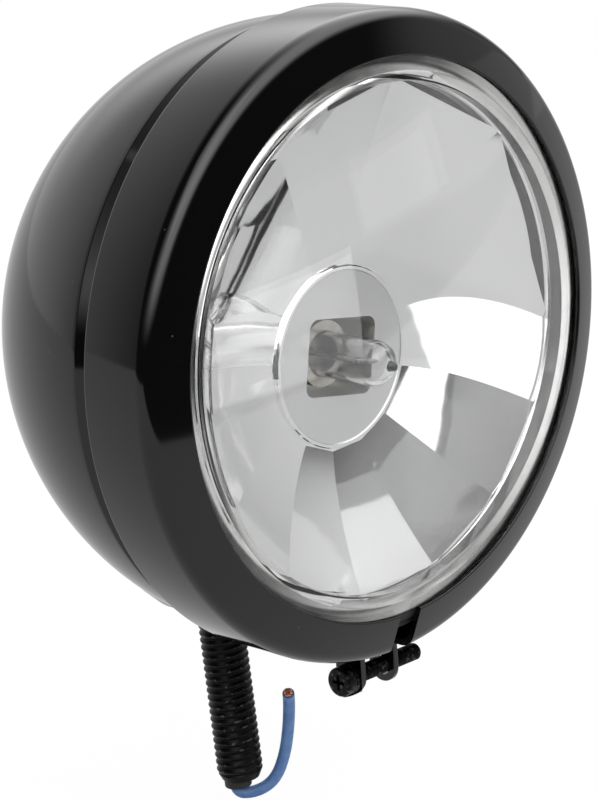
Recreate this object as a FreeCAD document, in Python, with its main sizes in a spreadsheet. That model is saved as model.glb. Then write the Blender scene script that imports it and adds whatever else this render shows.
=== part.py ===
"""Round motorcycle spot lamp with a clear lens, a faceted reflector and a bottom stud.

The lamp is a hemispherical steel bucket closed by a split retaining ring.  The ring carries the
glass lens and the reflector behind it, and a screw through two ears draws it tight in a groove of
the bucket.  A hollow stud holds the lamp from below and lets the supply wire out.

Frame, in millimetres: +Z is up and the lens faces -Y.  The origin is on the axis of the stud, in
the flat seat that the lamp stands on when it is bolted down.  Pieces that are round about the
optical axis are drawn in the lamp's own frame: Y runs backwards from the front edge of the ring's
opening, on the optical axis.
"""

import FreeCAD, Part
import Sketcher
import math
import os

# Driving sizes: the name of the cell, its value in millimetres or degrees, and what it is
SIZES = (
    ("fit_gap", 0.1, "gap between pieces that seat on each other on a curve"),
    ("lens_d", 114.3, "lens outside, the lamp's nominal size"),
    ("lens_edge", 3.1, "edge thickness of the lens"),
    ("lens_border", 7.55, "lens edge to the inside of its skirt"),
    ("dome_border", 4.85, "lens edge to the foot of the dome"),
    ("dome_step", 0.6, "step at the foot of the dome"),
    ("dome_rise", 7.4, "rise of the dome"),
    ("glass", 3.2, "thickness of the dome"),
    ("lens_cover", 2.15, "how far the ring covers the lens edge"),
    ("bucket_margin", 4.85, "bucket outside past the lens edge"),
    ("bucket_sheet", 0.9, "sheet thickness of the bucket"),
    ("rim_reach", 1.65, "bucket's turned-in rim inside the lens edge"),
    ("rim_bend", 1.6, "bend of that rim"),
    ("ring_width", 20.6, "rear edge of the ring behind its front edge"),
    ("ring_sheet", 1.2, "sheet thickness of the ring"),
    ("ring_flare", 0.55, "ring's largest radius past its rear edge"),
    ("shoulder_reach", 2.45, "radial size of the ring's rounded shoulder"),
    ("shoulder_run", 3.6, "axial size of that shoulder"),
    ("slope_angle", 22.11, "slope of the ring's front"),
    ("ring_gap", 5.9, "split of the ring"),
    ("ring_turn", 4.0, "turn of the ring about the optical axis"),
    ("lip_depth", 0.8, "reach of the ring's rear lip into the bucket's groove"),
    ("groove_play", 0.3, "play of the lip in the groove"),
    ("groove_flank", 0.5, "axial run of each flank of the groove"),
    ("seam", 2.8, "open part of the groove behind the ring"),
    ("bowl_step", 0.7, "bowl's radius less than the rim's"),
    ("bowl_set", 1.15, "bowl's centre ahead of the groove's back flank"),
    ("ear_setin", 1.15, "ear set in from the ring's end"),
    ("ear_sheet", 1.3, "thickness of an ear"),
    ("ear_width", 6.8, "width of an ear"),
    ("ear_setback", 12.8, "middle of the ears behind the front edge"),
    ("screw_drop", 5.6, "screw axis outside the ring's largest radius"),
    ("screw_d", 3.5, "clamp screw thread"),
    ("screw_play", 0.2, "radial play of the screw in the ears"),
    ("screw_tail", 8.9, "screw past the far ear"),
    ("screw_head_d", 6.0, "clamp screw head"),
    ("screw_head", 2.4, "height of the screw head"),
    ("recess_length", 3.8, "cross recess, tip to tip"),
    ("recess_width", 0.9, "cross recess, width of an arm"),
    ("recess_depth", 1.3, "cross recess, depth"),
    ("lock_washer_rim", 0.1, "lock washer past the screw head"),
    ("lock_washer", 0.8, "thickness of that lock washer"),
    ("washer_split", 0.7, "split of a lock washer"),
    ("sealant", 0.6, "thickness of the sealant bead"),
    ("sealant_inset", 0.95, "sealant bead inside the lens edge"),
    ("unit_turn", 14.7, "turn of the lens and reflector about the optical axis"),
    ("flange_inset", 0.55, "reflector flange inside the lens edge"),
    ("flange", 1.6, "thickness of the reflector flange"),
    ("mouth_step", 0.6, "facet corners at the mouth outside the lens skirt"),
    ("tier_width", 17.2, "radial width of the outer facets"),
    ("tier_depth", 6.2, "depth of the outer facets"),
    ("floor_step", 3.0, "depth of the inner facets"),
    ("floor_margin", 0.7, "facet corners at the floor outside the disc"),
    ("reflector_wall", 2.0, "wall of the reflector"),
    ("disc_d", 36, "raised disc round the bulb"),
    ("disc_rise", 0.7, "rise of the disc off the floor"),
    ("bulb_drop", 4.9, "bulb axis below the optical axis"),
    ("well_side", 2.7, "bulb well beside the bulb cup"),
    ("well_clear", 1.05, "bulb well above and below the bulb cup"),
    ("well_corner", 2.2, "corner radius of the bulb well"),
    ("well_wall", 2.7, "side wall of the bulb well"),
    ("well_depth", 9.0, "bulb well behind the reflector's back"),
    ("hook_reach", 1.5, "reach of a clip hook over the clip"),
    ("hook_stem", 1.5, "stem of a clip hook"),
    ("hook_width", 3.0, "width of a clip hook"),
    ("hook_margin", 0.65, "well's edge past the hooks"),
    ("gasket_leg", 1.0, "gasket behind the reflector flange"),
    ("gasket_wall", 1.6, "gasket round the lens edge"),
    ("capsule_d", 9.0, "bulb capsule outside"),
    ("capsule_glass", 0.8, "glass of the capsule"),
    ("capsule_length", 22.5, "capsule from its foot to the end of its dome"),
    ("tip_d", 1.8, "sealed tip of the capsule"),
    ("tip_length", 1.6, "sealed tip past the dome"),
    ("filament_height", 18, "filament in front of the bulb flange"),
    ("filament_d", 1.1, "filament coil"),
    ("filament_length", 5.0, "filament coil"),
    ("support_d", 0.5, "filament support wires"),
    ("cup_wall", 2.0, "wall of the bulb cup"),
    ("cup_height", 7.0, "bulb cup in front of the flange"),
    ("cup_floor", 2.0, "floor of the cup in front of the flange"),
    ("bulb_flange_rim", 4.4, "bulb flange past the cup"),
    ("bulb_flange", 1.2, "thickness of the bulb flange"),
    ("bulb_flat", 1.2, "depth of the flats on the bulb flange"),
    ("insulator_step", 1.4, "insulator inside the cup's outside"),
    ("insulator", 3.8, "length of the insulator"),
    ("clip_d", 1.2, "bulb clip wire"),
    ("clip_clear", 1.7, "clip's arms clear of the insulator"),
    ("clip_overrun", 1.0, "clip's arms past the bulb flange"),
    ("stud_angle", 37.9, "place of the stud on the bowl, behind its lowest point"),
    ("saddle_height", 13.14, "bowl above the mounting seat, on the stud axis"),
    ("stud_d", 9.525, "thread of the stud"),
    ("stud_wall", 1.1625, "wall of the stud at its thread"),
    ("shank_step", 0.2375, "plain shank past the thread"),
    ("stud_length", 41.8, "stud below the seat"),
    ("stud_chamfer", 0.85, "radial size of the chamfer at the stud's end"),
    ("stud_chamfer_length", 2.2, "length of that chamfer"),
    ("stud_end", 2.0, "stud past the nut"),
    ("saddle_rim", 5.0, "saddle past the stud's shank"),
    ("foot_rim", 6.2, "foot of the saddle past its waist"),
    ("foot_height", 4.0, "straight part of that foot"),
    ("foot_taper", 6.0, "height of the taper from the foot to the waist"),
    ("wedge_rim", 3.0, "wedge washer past the stud's shank"),
    ("wedge_land", 1.4, "least height of the wedge washer"),
    ("shank_gap", 0.15, "radial gap round the stud's shank"),
    ("stud_washer_rim", 3.7375, "lock washer past the stud's thread"),
    ("stud_washer", 2.0, "thickness of that lock washer"),
    ("nut_wall", 2.3875, "stud nut's flats past the thread"),
    ("nut_height", 8.3, "height of the stud nut"),
    ("tag_rim", 3.0, "ring of the earth terminal past the stud's shank"),
    ("tag_sheet", 0.8, "sheet of the earth terminal"),
    ("tag_reach", 5.5, "tongue of the terminal past its ring"),
    ("tag_width", 4.0, "width of the tongue"),
    ("sleeve_d", 5.6, "wire sleeve outside"),
    ("sleeve_wall", 0.4, "wall of the wire sleeve"),
    ("sleeve_gap", 0.05, "gap between the sleeve and the stud's bore"),
    ("sleeve_length", 30, "length of the wire sleeve"),
    ("sleeve_stand", 1.9, "sleeve past the end of the stud"),
    ("wire_d", 2.5, "insulated supply wire"),
    ("strand_d", 1.8, "bare strands"),
    ("strand_length", 0.8, "bare end of the supply wire"),
    ("earth_d", 1.8, "insulated earth lead"),
    ("connector_d", 4.6, "crimped connector of the bulb lead"),
    ("connector_length", 11, "crimped connector of the bulb lead"),
    ("connector_clear", 3.3, "connector above the top of the stud"),
)

# Facet corners: angle at the reflector's floor and angle at its mouth, anticlockwise from +X
FACET_ANGLES = (
    (90, 90),
    (119, 129),
    (153, 179),
    (189, 198),
    (220, 222),
    (245, 246),
    (270, 270),
    (295, 294),
    (320, 318),
    (351, 342),
    (387, 361),
    (421, 411),
)

# Supply wire outside the stud: distance across the picture, height and distance towards the viewer
WIRE_TURN = (0.0, -28.0, 0.0)
WIRE_ROUTE = (
    (-2.0, -45.3, 0.0),
    (2.6, -45.9, 0.0),
    (6.9, -43.7, 0.0),
    (9.5, -38.4, 0.0),
    (11.0, -32.2, 0.0),
    (11.8, -26.4, 0.0),
    (11.8, -24.2, 1.8),
)
WIRE_START_SHARE = 0.7
WIRE_PLANE_ANGLE = -44.65

ARC_SHARE = 0.45

doc = FreeCAD.newDocument("spot_lamp")
sheet = doc.addObject("Spreadsheet::Sheet", "dims")
for row, (alias, size, meaning) in enumerate(SIZES, start=1):
    sheet.set(f"A{row}", meaning)
    sheet.set(f"B{row}", str(size))
    sheet.setAlias(f"B{row}", alias)
doc.recompute()

Vector = FreeCAD.Vector
pieces = []

# Sizes that follow from the driving ones, as expressions: radii first, then places along the axis
LENS_R = "(dims.lens_d / 2)"
OPENING_R = f"({LENS_R} - dims.lens_cover)"
DOME_R = f"({LENS_R} - dims.dome_border)"
SKIRT_R = f"({LENS_R} - dims.lens_border)"
SEALANT_R = f"({LENS_R} - dims.sealant_inset)"
FLANGE_R = f"({LENS_R} - dims.flange_inset)"
MOUTH_R = f"({SKIRT_R} + dims.mouth_step)"
TIER_R = f"({MOUTH_R} - dims.tier_width)"
FLOOR_R = "(dims.disc_d / 2 + dims.floor_margin)"
RIM_OPENING_R = f"({LENS_R} - dims.rim_reach)"
BUCKET_R = f"({LENS_R} + dims.bucket_margin)"
BUCKET_INSIDE_R = f"({BUCKET_R} - dims.bucket_sheet)"
BOWL_R = f"({BUCKET_R} - dims.bowl_step)"
BOWL_INSIDE_R = f"({BOWL_R} - dims.bucket_sheet)"
LIP_R = f"({BUCKET_R} - dims.lip_depth)"
RING_REAR_R = f"({BUCKET_R} + dims.fit_gap + dims.ring_sheet)"
RING_R = f"({RING_REAR_R} + dims.ring_flare)"
SLOPE_R = f"({RING_R} - dims.shoulder_reach)"
SCREW_RADIUS = f"({RING_R} + dims.screw_drop)"
SCREW_HOLE_R = "(dims.screw_d / 2 + dims.screw_play)"
LOCK_WASHER_R = "(dims.screw_head_d / 2 + dims.lock_washer_rim)"
CAPSULE_R = "(dims.capsule_d / 2)"
SOCKET_R = f"({CAPSULE_R} + dims.fit_gap)"
CUP_R = f"({SOCKET_R} + dims.cup_wall)"
WELL_ACROSS = f"({CUP_R} + dims.well_side)"
WELL_UPRIGHT = f"({CUP_R} + dims.well_clear)"
BULB_FLANGE_R = f"({CUP_R} + dims.bulb_flange_rim)"
INSULATOR_R = f"({CUP_R} - dims.insulator_step)"
CLIP_HALF = f"({INSULATOR_R} + dims.clip_clear + dims.clip_d / 2)"
CLIP_REACH = f"({BULB_FLANGE_R} + dims.clip_overrun)"
HOOK_INSIDE = f"({CLIP_HALF} + dims.clip_d / 2 + dims.fit_gap)"
STUD_R = "(dims.stud_d / 2)"
SHANK_R = f"({STUD_R} + dims.shank_step)"
SHANK_HOLE_R = f"({SHANK_R} + dims.shank_gap)"
BORE_R = f"({STUD_R} - dims.stud_wall)"
SADDLE_R = f"({SHANK_R} + dims.saddle_rim)"
FOOT_R = f"({SADDLE_R} + dims.foot_rim)"
WEDGE_R = f"({SHANK_R} + dims.wedge_rim)"
TAG_R = f"({SHANK_R} + dims.tag_rim)"
TAG_END = f"({TAG_R} + dims.tag_reach)"
SLEEVE_R = "(dims.sleeve_d / 2)"
SLEEVE_SHIFT = f"({BORE_R} - {SLEEVE_R} - dims.sleeve_gap)"

SLOPE = "tan(dims.slope_angle)"
SLOPE_DEPTH = f"(({SLOPE_R} - {OPENING_R}) * {SLOPE})"
SHOULDER = f"({SLOPE_DEPTH} + dims.shoulder_run)"
LENS_PLAY = "((dims.ring_sheet + dims.fit_gap) / cos(dims.slope_angle))"
LENS_SEAT = f"(({LENS_R} - {OPENING_R}) * {SLOPE} + {LENS_PLAY})"
DOME_FOOT = f"(({DOME_R} - {OPENING_R}) * {SLOPE} + {LENS_PLAY})"
DOME_TOP = f"({DOME_FOOT} - dims.dome_step - dims.dome_rise)"
LENS_BACK = f"({LENS_SEAT} + dims.lens_edge)"
MOUTH = f"({LENS_BACK} + dims.sealant)"
FLANGE_BACK = f"({MOUTH} + dims.flange)"
RIM_FRONT = f"({FLANGE_BACK} + dims.gasket_leg)"
TIER = f"({MOUTH} + dims.tier_depth)"
FLOOR = f"({TIER} + dims.floor_step)"
REFLECTOR_BACK = f"({FLOOR} + dims.reflector_wall)"
WELL_BACK = f"({REFLECTOR_BACK} + dims.well_depth)"
CUP_FLOOR = f"({WELL_BACK} - dims.cup_floor)"
BULB_FLANGE_BACK = f"({WELL_BACK} + dims.bulb_flange)"
INSULATOR_BACK = f"({BULB_FLANGE_BACK} + dims.insulator)"
CLIP_PLANE = f"({BULB_FLANGE_BACK} + dims.clip_d / 2)"
GROOVE_BACK = "(dims.ring_width + dims.groove_play)"
GROOVE_FRONT = "(dims.ring_width - dims.ring_sheet - dims.groove_play)"
EQUATOR = f"({GROOVE_BACK} + dims.groove_flank - dims.bowl_set)"
SEAM_BACK = "(dims.ring_width + dims.seam)"
BOWL_START = f"({SEAM_BACK} + dims.groove_flank)"
EAR_INSIDE = "(dims.ring_gap / 2 + dims.ear_setin)"
EAR_OUTSIDE = f"({EAR_INSIDE} + dims.ear_sheet)"

STUD_OFFSET = f"({BOWL_R} * sin(dims.stud_angle))"
STUD_SETBACK = f"({EQUATOR} + {STUD_OFFSET})"
AXIS_HEIGHT = f"(dims.saddle_height + {BOWL_R} * cos(dims.stud_angle))"
WEDGE_REAR = f"({STUD_OFFSET} + {WEDGE_R})"
WEDGE_TOP = f"({AXIS_HEIGHT} - sqrt({BOWL_INSIDE_R} ^ 2 - {WEDGE_REAR} ^ 2) + dims.wedge_land)"
TAG_TOP = f"({WEDGE_TOP} + dims.tag_sheet)"
NUT_SEAT = f"({TAG_TOP} + dims.stud_washer)"
STUD_TOP = f"({NUT_SEAT} + dims.nut_height + dims.stud_end)"


def value(expression):
    """The present value of an expression over the sheet."""
    return float(sheet.evalExpression(expression))


def place_on_axis(piece, turn=None):
    """Puts a piece drawn in the lamp's frame on the optical axis, turned about it if asked."""
    piece.Placement = FreeCAD.Placement(Vector(), FreeCAD.Rotation(Vector(0, 1, 0), 1))
    piece.setExpression("Placement.Base.y", f"-{STUD_SETBACK}")
    piece.setExpression("Placement.Base.z", AXIS_HEIGHT)
    piece.setExpression("Placement.Rotation.Angle", turn or "0")


def new_body(label):
    body = doc.addObject("PartDesign::Body", label)
    body.Label = label
    pieces.append(body)
    return body


def new_sketch(body, name, role, offset=None):
    """A sketch on one of the body's own planes, moved along the plane's normal if asked."""
    sketch = body.newObject("Sketcher::SketchObject", name)
    plane = next(f for f in body.Origin.OriginFeatures if f.Role == role)
    sketch.AttachmentSupport = [(plane, "")]
    sketch.MapMode = "FlatFace"
    if offset:
        sketch.setExpression("AttachmentOffset.Base.z", offset)
    return sketch


def pin(sketch, edge, point, x, y):
    """Ties one point of an edge to two expressions."""
    for kind, expression, axis in (("DistanceX", x, -2), ("DistanceY", y, -1)):
        if expression == "0":
            sketch.addConstraint(Sketcher.Constraint("PointOnObject", edge, point, axis))
            continue
        rule = Sketcher.Constraint(kind, -1, 1, edge, point, value(expression))
        sketch.setExpression(f"Constraints[{sketch.addConstraint(rule)}]", expression)


def arc_centre(points, index, bend):
    """Centre of the arc from a corner to the next one."""
    start = points[index]
    end = points[(index + 1) % len(points)]
    if bend == "axis":
        return Vector((end.Length**2 - start.Length**2) / (2 * (end.x - start.x)), 0, 0)
    if bend == "leaving":
        touch, other = start, end
        along = start - points[index - 1]
    else:
        touch, other = end, start
        along = points[(index + 2) % len(points)] - end
    normal = Vector(-along.y, along.x, 0).normalize()
    chord = other - touch
    return touch + normal * (chord.Length**2 / (2 * chord.dot(normal)))


def draw(sketch, corners):
    """A closed outline through corners (x, y) or (x, y, bend), each an expression.

    A bend makes the edge that leaves its corner an arc: "axis" centres it on the horizontal axis,
    "leaving" keeps it tangent to the edge before it, and "arriving" to the edge after it.
    """
    points = [Vector(value(c[0]), value(c[1]), 0) for c in corners]
    bends = [c[2] if len(c) > 2 else None for c in corners]
    edges = []
    for index, bend in enumerate(bends):
        start = points[index]
        end = points[(index + 1) % len(points)]
        if bend is None:
            edges.append((sketch.addGeometry(Part.LineSegment(start, end)), 1, 2))
            continue
        centre = arc_centre(points, index, bend)
        first, last = start - centre, end - centre
        forward = first.cross(last).z > 0
        circle = Part.Circle(centre, Vector(0, 0, 1), first.Length)
        angles = [math.atan2(v.y, v.x) for v in (first, last)]
        if not forward:
            angles.reverse()
        arc = sketch.addGeometry(Part.ArcOfCircle(circle, *angles))
        edges.append((arc, 1, 2) if forward else (arc, 2, 1))
        if bend == "axis":
            sketch.addConstraint(Sketcher.Constraint("PointOnObject", arc, 3, -1))
    for index, (edge, start_point, _) in enumerate(edges):
        before, _, end_point = edges[index - 1]
        smooth = bends[index] == "leaving" or bends[index - 1] == "arriving"
        kind = "Tangent" if smooth else "Coincident"
        sketch.addConstraint(Sketcher.Constraint(kind, before, end_point, edge, start_point))
        pin(sketch, edge, start_point, corners[index][0], corners[index][1])


def draw_circle(sketch, x, y, radius):
    circle = Part.Circle(Vector(value(x), value(y), 0), Vector(0, 0, 1), value(radius))
    edge = sketch.addGeometry(circle)
    pin(sketch, edge, 3, x, y)
    rule = Sketcher.Constraint("Radius", edge, value(radius))
    sketch.setExpression(f"Constraints[{sketch.addConstraint(rule)}]", radius)


def draw_box(sketch, left, right, bottom, top):
    draw(sketch, ((left, bottom), (right, bottom), (right, top), (left, top)))


def turned(body, name, corners, role="YZ_Plane", axis="H_Axis"):
    """A solid of revolution of an outline."""
    sketch = new_sketch(body, f"{name}_profile", role)
    draw(sketch, corners)
    solid = body.newObject("PartDesign::Revolution", name)
    solid.Profile = sketch
    solid.ReferenceAxis = (sketch, [axis])
    solid.Angle = 360
    return solid


def pad(body, sketch, length, reverse=False, middle=False):
    solid = body.newObject("PartDesign::Pad", f"{sketch.Name}_pad")
    solid.Profile = sketch
    solid.setExpression("Length", length)
    solid.Reversed = reverse
    solid.Midplane = middle
    return solid


def pocket(body, sketch, length, reverse=False, middle=False):
    """A cut from a sketch, which must take material away."""
    doc.recompute()
    before = body.Shape.Volume
    cut = body.newObject("PartDesign::Pocket", f"{sketch.Name}_pocket")
    cut.Profile = sketch
    cut.setExpression("Length", length)
    cut.Reversed = reverse
    cut.Midplane = middle
    doc.recompute()
    if body.Shape.Volume >= before:
        raise RuntimeError(f"{cut.Name} takes nothing away")
    return cut


def loft(body, kind, name, sketches):
    solid = body.newObject(f"PartDesign::{kind}Loft", name)
    solid.Profile = sketches[0]
    solid.Sections = sketches[1:]
    solid.Ruled = False
    return solid


def rounded_path(points):
    """Straight runs through the points, joined by tangent arcs as large as the runs allow."""
    edges = []
    radii = []
    last = points[0]
    for before, corner, after in zip(points, points[1:], points[2:]):
        incoming = corner - before
        outgoing = after - corner
        turn = incoming.getAngle(outgoing)
        setback = ARC_SHARE * min(incoming.Length, outgoing.Length)
        radii.append(setback / math.tan(turn / 2))
        incoming.normalize()
        outgoing.normalize()
        start = corner - incoming * setback
        end = corner + outgoing * setback
        bisector = (outgoing - incoming).normalize()
        depth = radii[-1] * (1 / math.cos(turn / 2) - 1)
        edges.append(Part.LineSegment(last, start).toShape())
        edges.append(Part.Arc(start, corner + bisector * depth, end).toShape())
        last = end
    edges.append(Part.LineSegment(last, points[-1]).toShape())
    return Part.Wire(edges), radii


def tube(label, points, diameter):
    """A round lead along a route of points, with its volume compared with its length."""
    path, radii = rounded_path(points)
    ring = Part.Circle(points[0], points[1] - points[0], diameter / 2)
    shape = path.makePipeShell([Part.Wire([ring.toShape()])], True, False)
    expected = math.pi * (diameter / 2) ** 2 * path.Length
    share = shape.Volume / expected
    bends = ", ".join(f"{radius:.1f}" for radius in radii)
    print(f"{label}: length {path.Length:.2f}, volume share {share:.4f}, radii {bends}")
    piece = doc.addObject("Part::Feature", label)
    piece.Label = label
    piece.Shape = shape
    pieces.append(piece)
    return piece


def make_bucket():
    """Deep-drawn bowl with a turned-in rim, a rolled groove and a hole for the stud."""
    body = new_body("bucket")
    bend_end = f"{RIM_FRONT} + dims.rim_bend"
    bend_start = f"{BUCKET_R} - dims.rim_bend"
    rim_back = f"{RIM_FRONT} + dims.bucket_sheet"
    groove_start = f"{GROOVE_FRONT} - dims.groove_flank"
    groove_floor = f"{LIP_R} - dims.groove_play"
    groove_under = f"{groove_floor} - dims.bucket_sheet"
    pole = f"{EQUATOR} + {BOWL_R}"
    bowl_start_r = f"sqrt({BOWL_R} ^ 2 - ({BOWL_START} - {EQUATOR}) ^ 2)"
    bowl_inside_r = f"sqrt({BOWL_INSIDE_R} ^ 2 - ({BOWL_START} - {EQUATOR}) ^ 2)"
    turned(
        body,
        "bowl",
        (
            (RIM_FRONT, RIM_OPENING_R),
            (RIM_FRONT, bend_start, "leaving"),
            (bend_end, BUCKET_R),
            (groove_start, BUCKET_R),
            (GROOVE_FRONT, groove_floor),
            (SEAM_BACK, groove_floor),
            (BOWL_START, bowl_start_r, "axis"),
            (pole, "0"),
            (f"{pole} - dims.bucket_sheet", "0", "axis"),
            (BOWL_START, bowl_inside_r),
            (SEAM_BACK, groove_under),
            (GROOVE_FRONT, groove_under),
            (groove_start, BUCKET_INSIDE_R),
            (bend_end, BUCKET_INSIDE_R, "leaving"),
            (rim_back, bend_start),
            (rim_back, RIM_OPENING_R),
        ),
    )
    hole = new_sketch(body, "stud_hole", "XY_Plane")
    draw_circle(hole, "0", STUD_SETBACK, SHANK_HOLE_R)
    pocket(body, hole, f"2 * {BUCKET_R}")
    place_on_axis(body)


def make_retaining_ring():
    """Split clamp ring with a sloping front, a rear lip and two ears bent down for the screw."""
    body = new_body("retaining_ring")
    lip_front = "dims.ring_width - dims.ring_sheet"
    inner_slope = "dims.ring_sheet / cos(dims.slope_angle)"
    turned(
        body,
        "band",
        (
            ("0", OPENING_R),
            (SLOPE_DEPTH, SLOPE_R, "leaving"),
            (SHOULDER, RING_R),
            ("dims.ring_width", RING_REAR_R),
            ("dims.ring_width", LIP_R),
            (lip_front, LIP_R),
            (lip_front, f"{RING_REAR_R} - dims.ring_sheet"),
            (SHOULDER, f"{RING_R} - dims.ring_sheet", "arriving"),
            (f"{SLOPE_DEPTH} + {inner_slope}", SLOPE_R),
            (inner_slope, OPENING_R),
        ),
    )
    gap = new_sketch(body, "gap", "XZ_Plane")
    draw_box(gap, "-dims.ring_gap / 2", "dims.ring_gap / 2", f"-2 * {RING_R}", "0")
    pocket(body, gap, "4 * dims.ring_width", middle=True)
    ear = new_sketch(body, "ear", "YZ_Plane", EAR_INSIDE)
    front = "dims.ear_setback - dims.ear_width / 2"
    rear = "dims.ear_setback + dims.ear_width / 2"
    bottom = f"-{SCREW_RADIUS} - dims.ear_width / 2"
    root = f"-sqrt(({RING_REAR_R} - dims.ring_sheet / 2) ^ 2 - {EAR_INSIDE} ^ 2)"
    draw(
        ear,
        (
            (front, root),
            (front, f"-{SCREW_RADIUS}", "leaving"),
            ("dims.ear_setback", bottom, "arriving"),
            (rear, f"-{SCREW_RADIUS}"),
            (rear, root),
        ),
    )
    tab = pad(body, ear, "dims.ear_sheet")
    pair = body.newObject("PartDesign::Mirrored", "ear_pair")
    pair.Originals = [tab]
    middle = next(f for f in body.Origin.OriginFeatures if f.Role == "YZ_Plane")
    pair.MirrorPlane = (middle, [""])
    body.Tip = pair
    hole = new_sketch(body, "screw_hole", "YZ_Plane")
    draw_circle(hole, "dims.ear_setback", f"-{SCREW_RADIUS}", SCREW_HOLE_R)
    pocket(body, hole, f"4 * {EAR_OUTSIDE}", middle=True)
    place_on_axis(body, "dims.ring_turn")


def make_clamp_screw():
    """Cheese-head screw with a cross recess, along X through both ears."""
    body = new_body("clamp_screw")
    seat = f"-{EAR_OUTSIDE} - dims.lock_washer"
    face = f"{seat} - dims.screw_head"
    tail = f"{EAR_OUTSIDE} + dims.screw_tail"
    tip = "dims.screw_d / 6"
    turned(
        body,
        "shape",
        (
            (face, "0"),
            (face, "dims.screw_head_d / 2 - dims.screw_head / 8"),
            (f"{face} + dims.screw_head / 8", "dims.screw_head_d / 2"),
            (seat, "dims.screw_head_d / 2"),
            (seat, "dims.screw_d / 2"),
            (f"{tail} - {tip}", "dims.screw_d / 2"),
            (tail, f"dims.screw_d / 2 - {tip}"),
            (tail, "0"),
        ),
        role="XZ_Plane",
    )
    cross = new_sketch(body, "recess", "YZ_Plane", face)
    reach = "dims.recess_length / 2"
    arm = "dims.recess_width / 2"
    draw(
        cross,
        (
            (f"-{reach}", f"-{arm}"),
            (f"-{arm}", f"-{arm}"),
            (f"-{arm}", f"-{reach}"),
            (arm, f"-{reach}"),
            (arm, f"-{arm}"),
            (reach, f"-{arm}"),
            (reach, arm),
            (arm, arm),
            (arm, reach),
            (f"-{arm}", reach),
            (f"-{arm}", arm),
            (f"-{reach}", arm),
        ),
    )
    pocket(body, cross, "dims.recess_depth", reverse=True)
    place_on_screw(body)


def place_on_screw(body):
    """Puts a piece drawn along X on the screw's axis, which turns with the ring."""
    place_on_axis(body, "dims.ring_turn")
    across = f"-{SCREW_RADIUS} * sin(dims.ring_turn)"
    height = f"{AXIS_HEIGHT} - {SCREW_RADIUS} * cos(dims.ring_turn)"
    body.setExpression("Placement.Base.x", across)
    body.setExpression("Placement.Base.y", f"dims.ear_setback - {STUD_SETBACK}")
    body.setExpression("Placement.Base.z", height)


def make_clamp_lock_washer():
    """Spring washer between the screw head and the near ear."""
    body = new_body("clamp_lock_washer")
    front = f"-{EAR_OUTSIDE} - dims.lock_washer"
    back = f"-{EAR_OUTSIDE}"
    turned(
        body,
        "washer",
        (
            (front, SCREW_HOLE_R),
            (front, LOCK_WASHER_R),
            (back, LOCK_WASHER_R),
            (back, SCREW_HOLE_R),
        ),
        role="XZ_Plane",
    )
    split = new_sketch(body, "split", "YZ_Plane")
    draw_box(split, "0", f"2 * {LOCK_WASHER_R}", "-dims.washer_split / 2", "dims.washer_split / 2")
    pocket(body, split, f"4 * {EAR_OUTSIDE}", middle=True)
    place_on_screw(body)


def make_lens():
    """Pressed glass lens: a shallow dome, a sloping border under the ring and a skirt."""
    body = new_body("lens")
    crown = f"{DOME_FOOT} - dims.dome_step"
    inner_top = f"{DOME_TOP} + dims.glass"
    skirt_top = f"{crown} + dims.glass"
    turned(
        body,
        "dome",
        (
            (DOME_TOP, "0", "axis"),
            (crown, f"{DOME_R} - dims.dome_step"),
            (DOME_FOOT, DOME_R),
            (LENS_SEAT, LENS_R),
            (LENS_BACK, LENS_R),
            (LENS_BACK, SKIRT_R),
            (skirt_top, SKIRT_R, "axis"),
            (inner_top, "0"),
        ),
    )
    place_on_axis(body, "dims.unit_turn")


def make_lens_sealant():
    """Bead that bonds the lens skirt to the reflector's flange."""
    body = new_body("lens_sealant")
    sketch = new_sketch(body, "bead", "XZ_Plane", f"-{LENS_BACK}")
    draw_circle(sketch, "0", "0", SEALANT_R)
    draw_circle(sketch, "0", "0", f"{MOUTH_R} + dims.fit_gap")
    pad(body, sketch, "dims.sealant", reverse=True)
    place_on_axis(body, "dims.unit_turn")


def facet_ring(body, name, radius, depth, drop, mouth):
    """Sketch of the polygon that the facet corners make at one depth of the reflector."""
    sketch = new_sketch(body, name, "XZ_Plane", f"-({depth})")
    corners = []
    for floor_angle, mouth_angle in FACET_ANGLES:
        angle = mouth * mouth_angle + (1 - mouth) * floor_angle
        across = f"({radius}) * cos({angle:g})"
        height = f"({radius}) * sin({angle:g}) - {drop}"
        corners.append((across, height))
    draw(sketch, corners)
    return sketch


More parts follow.
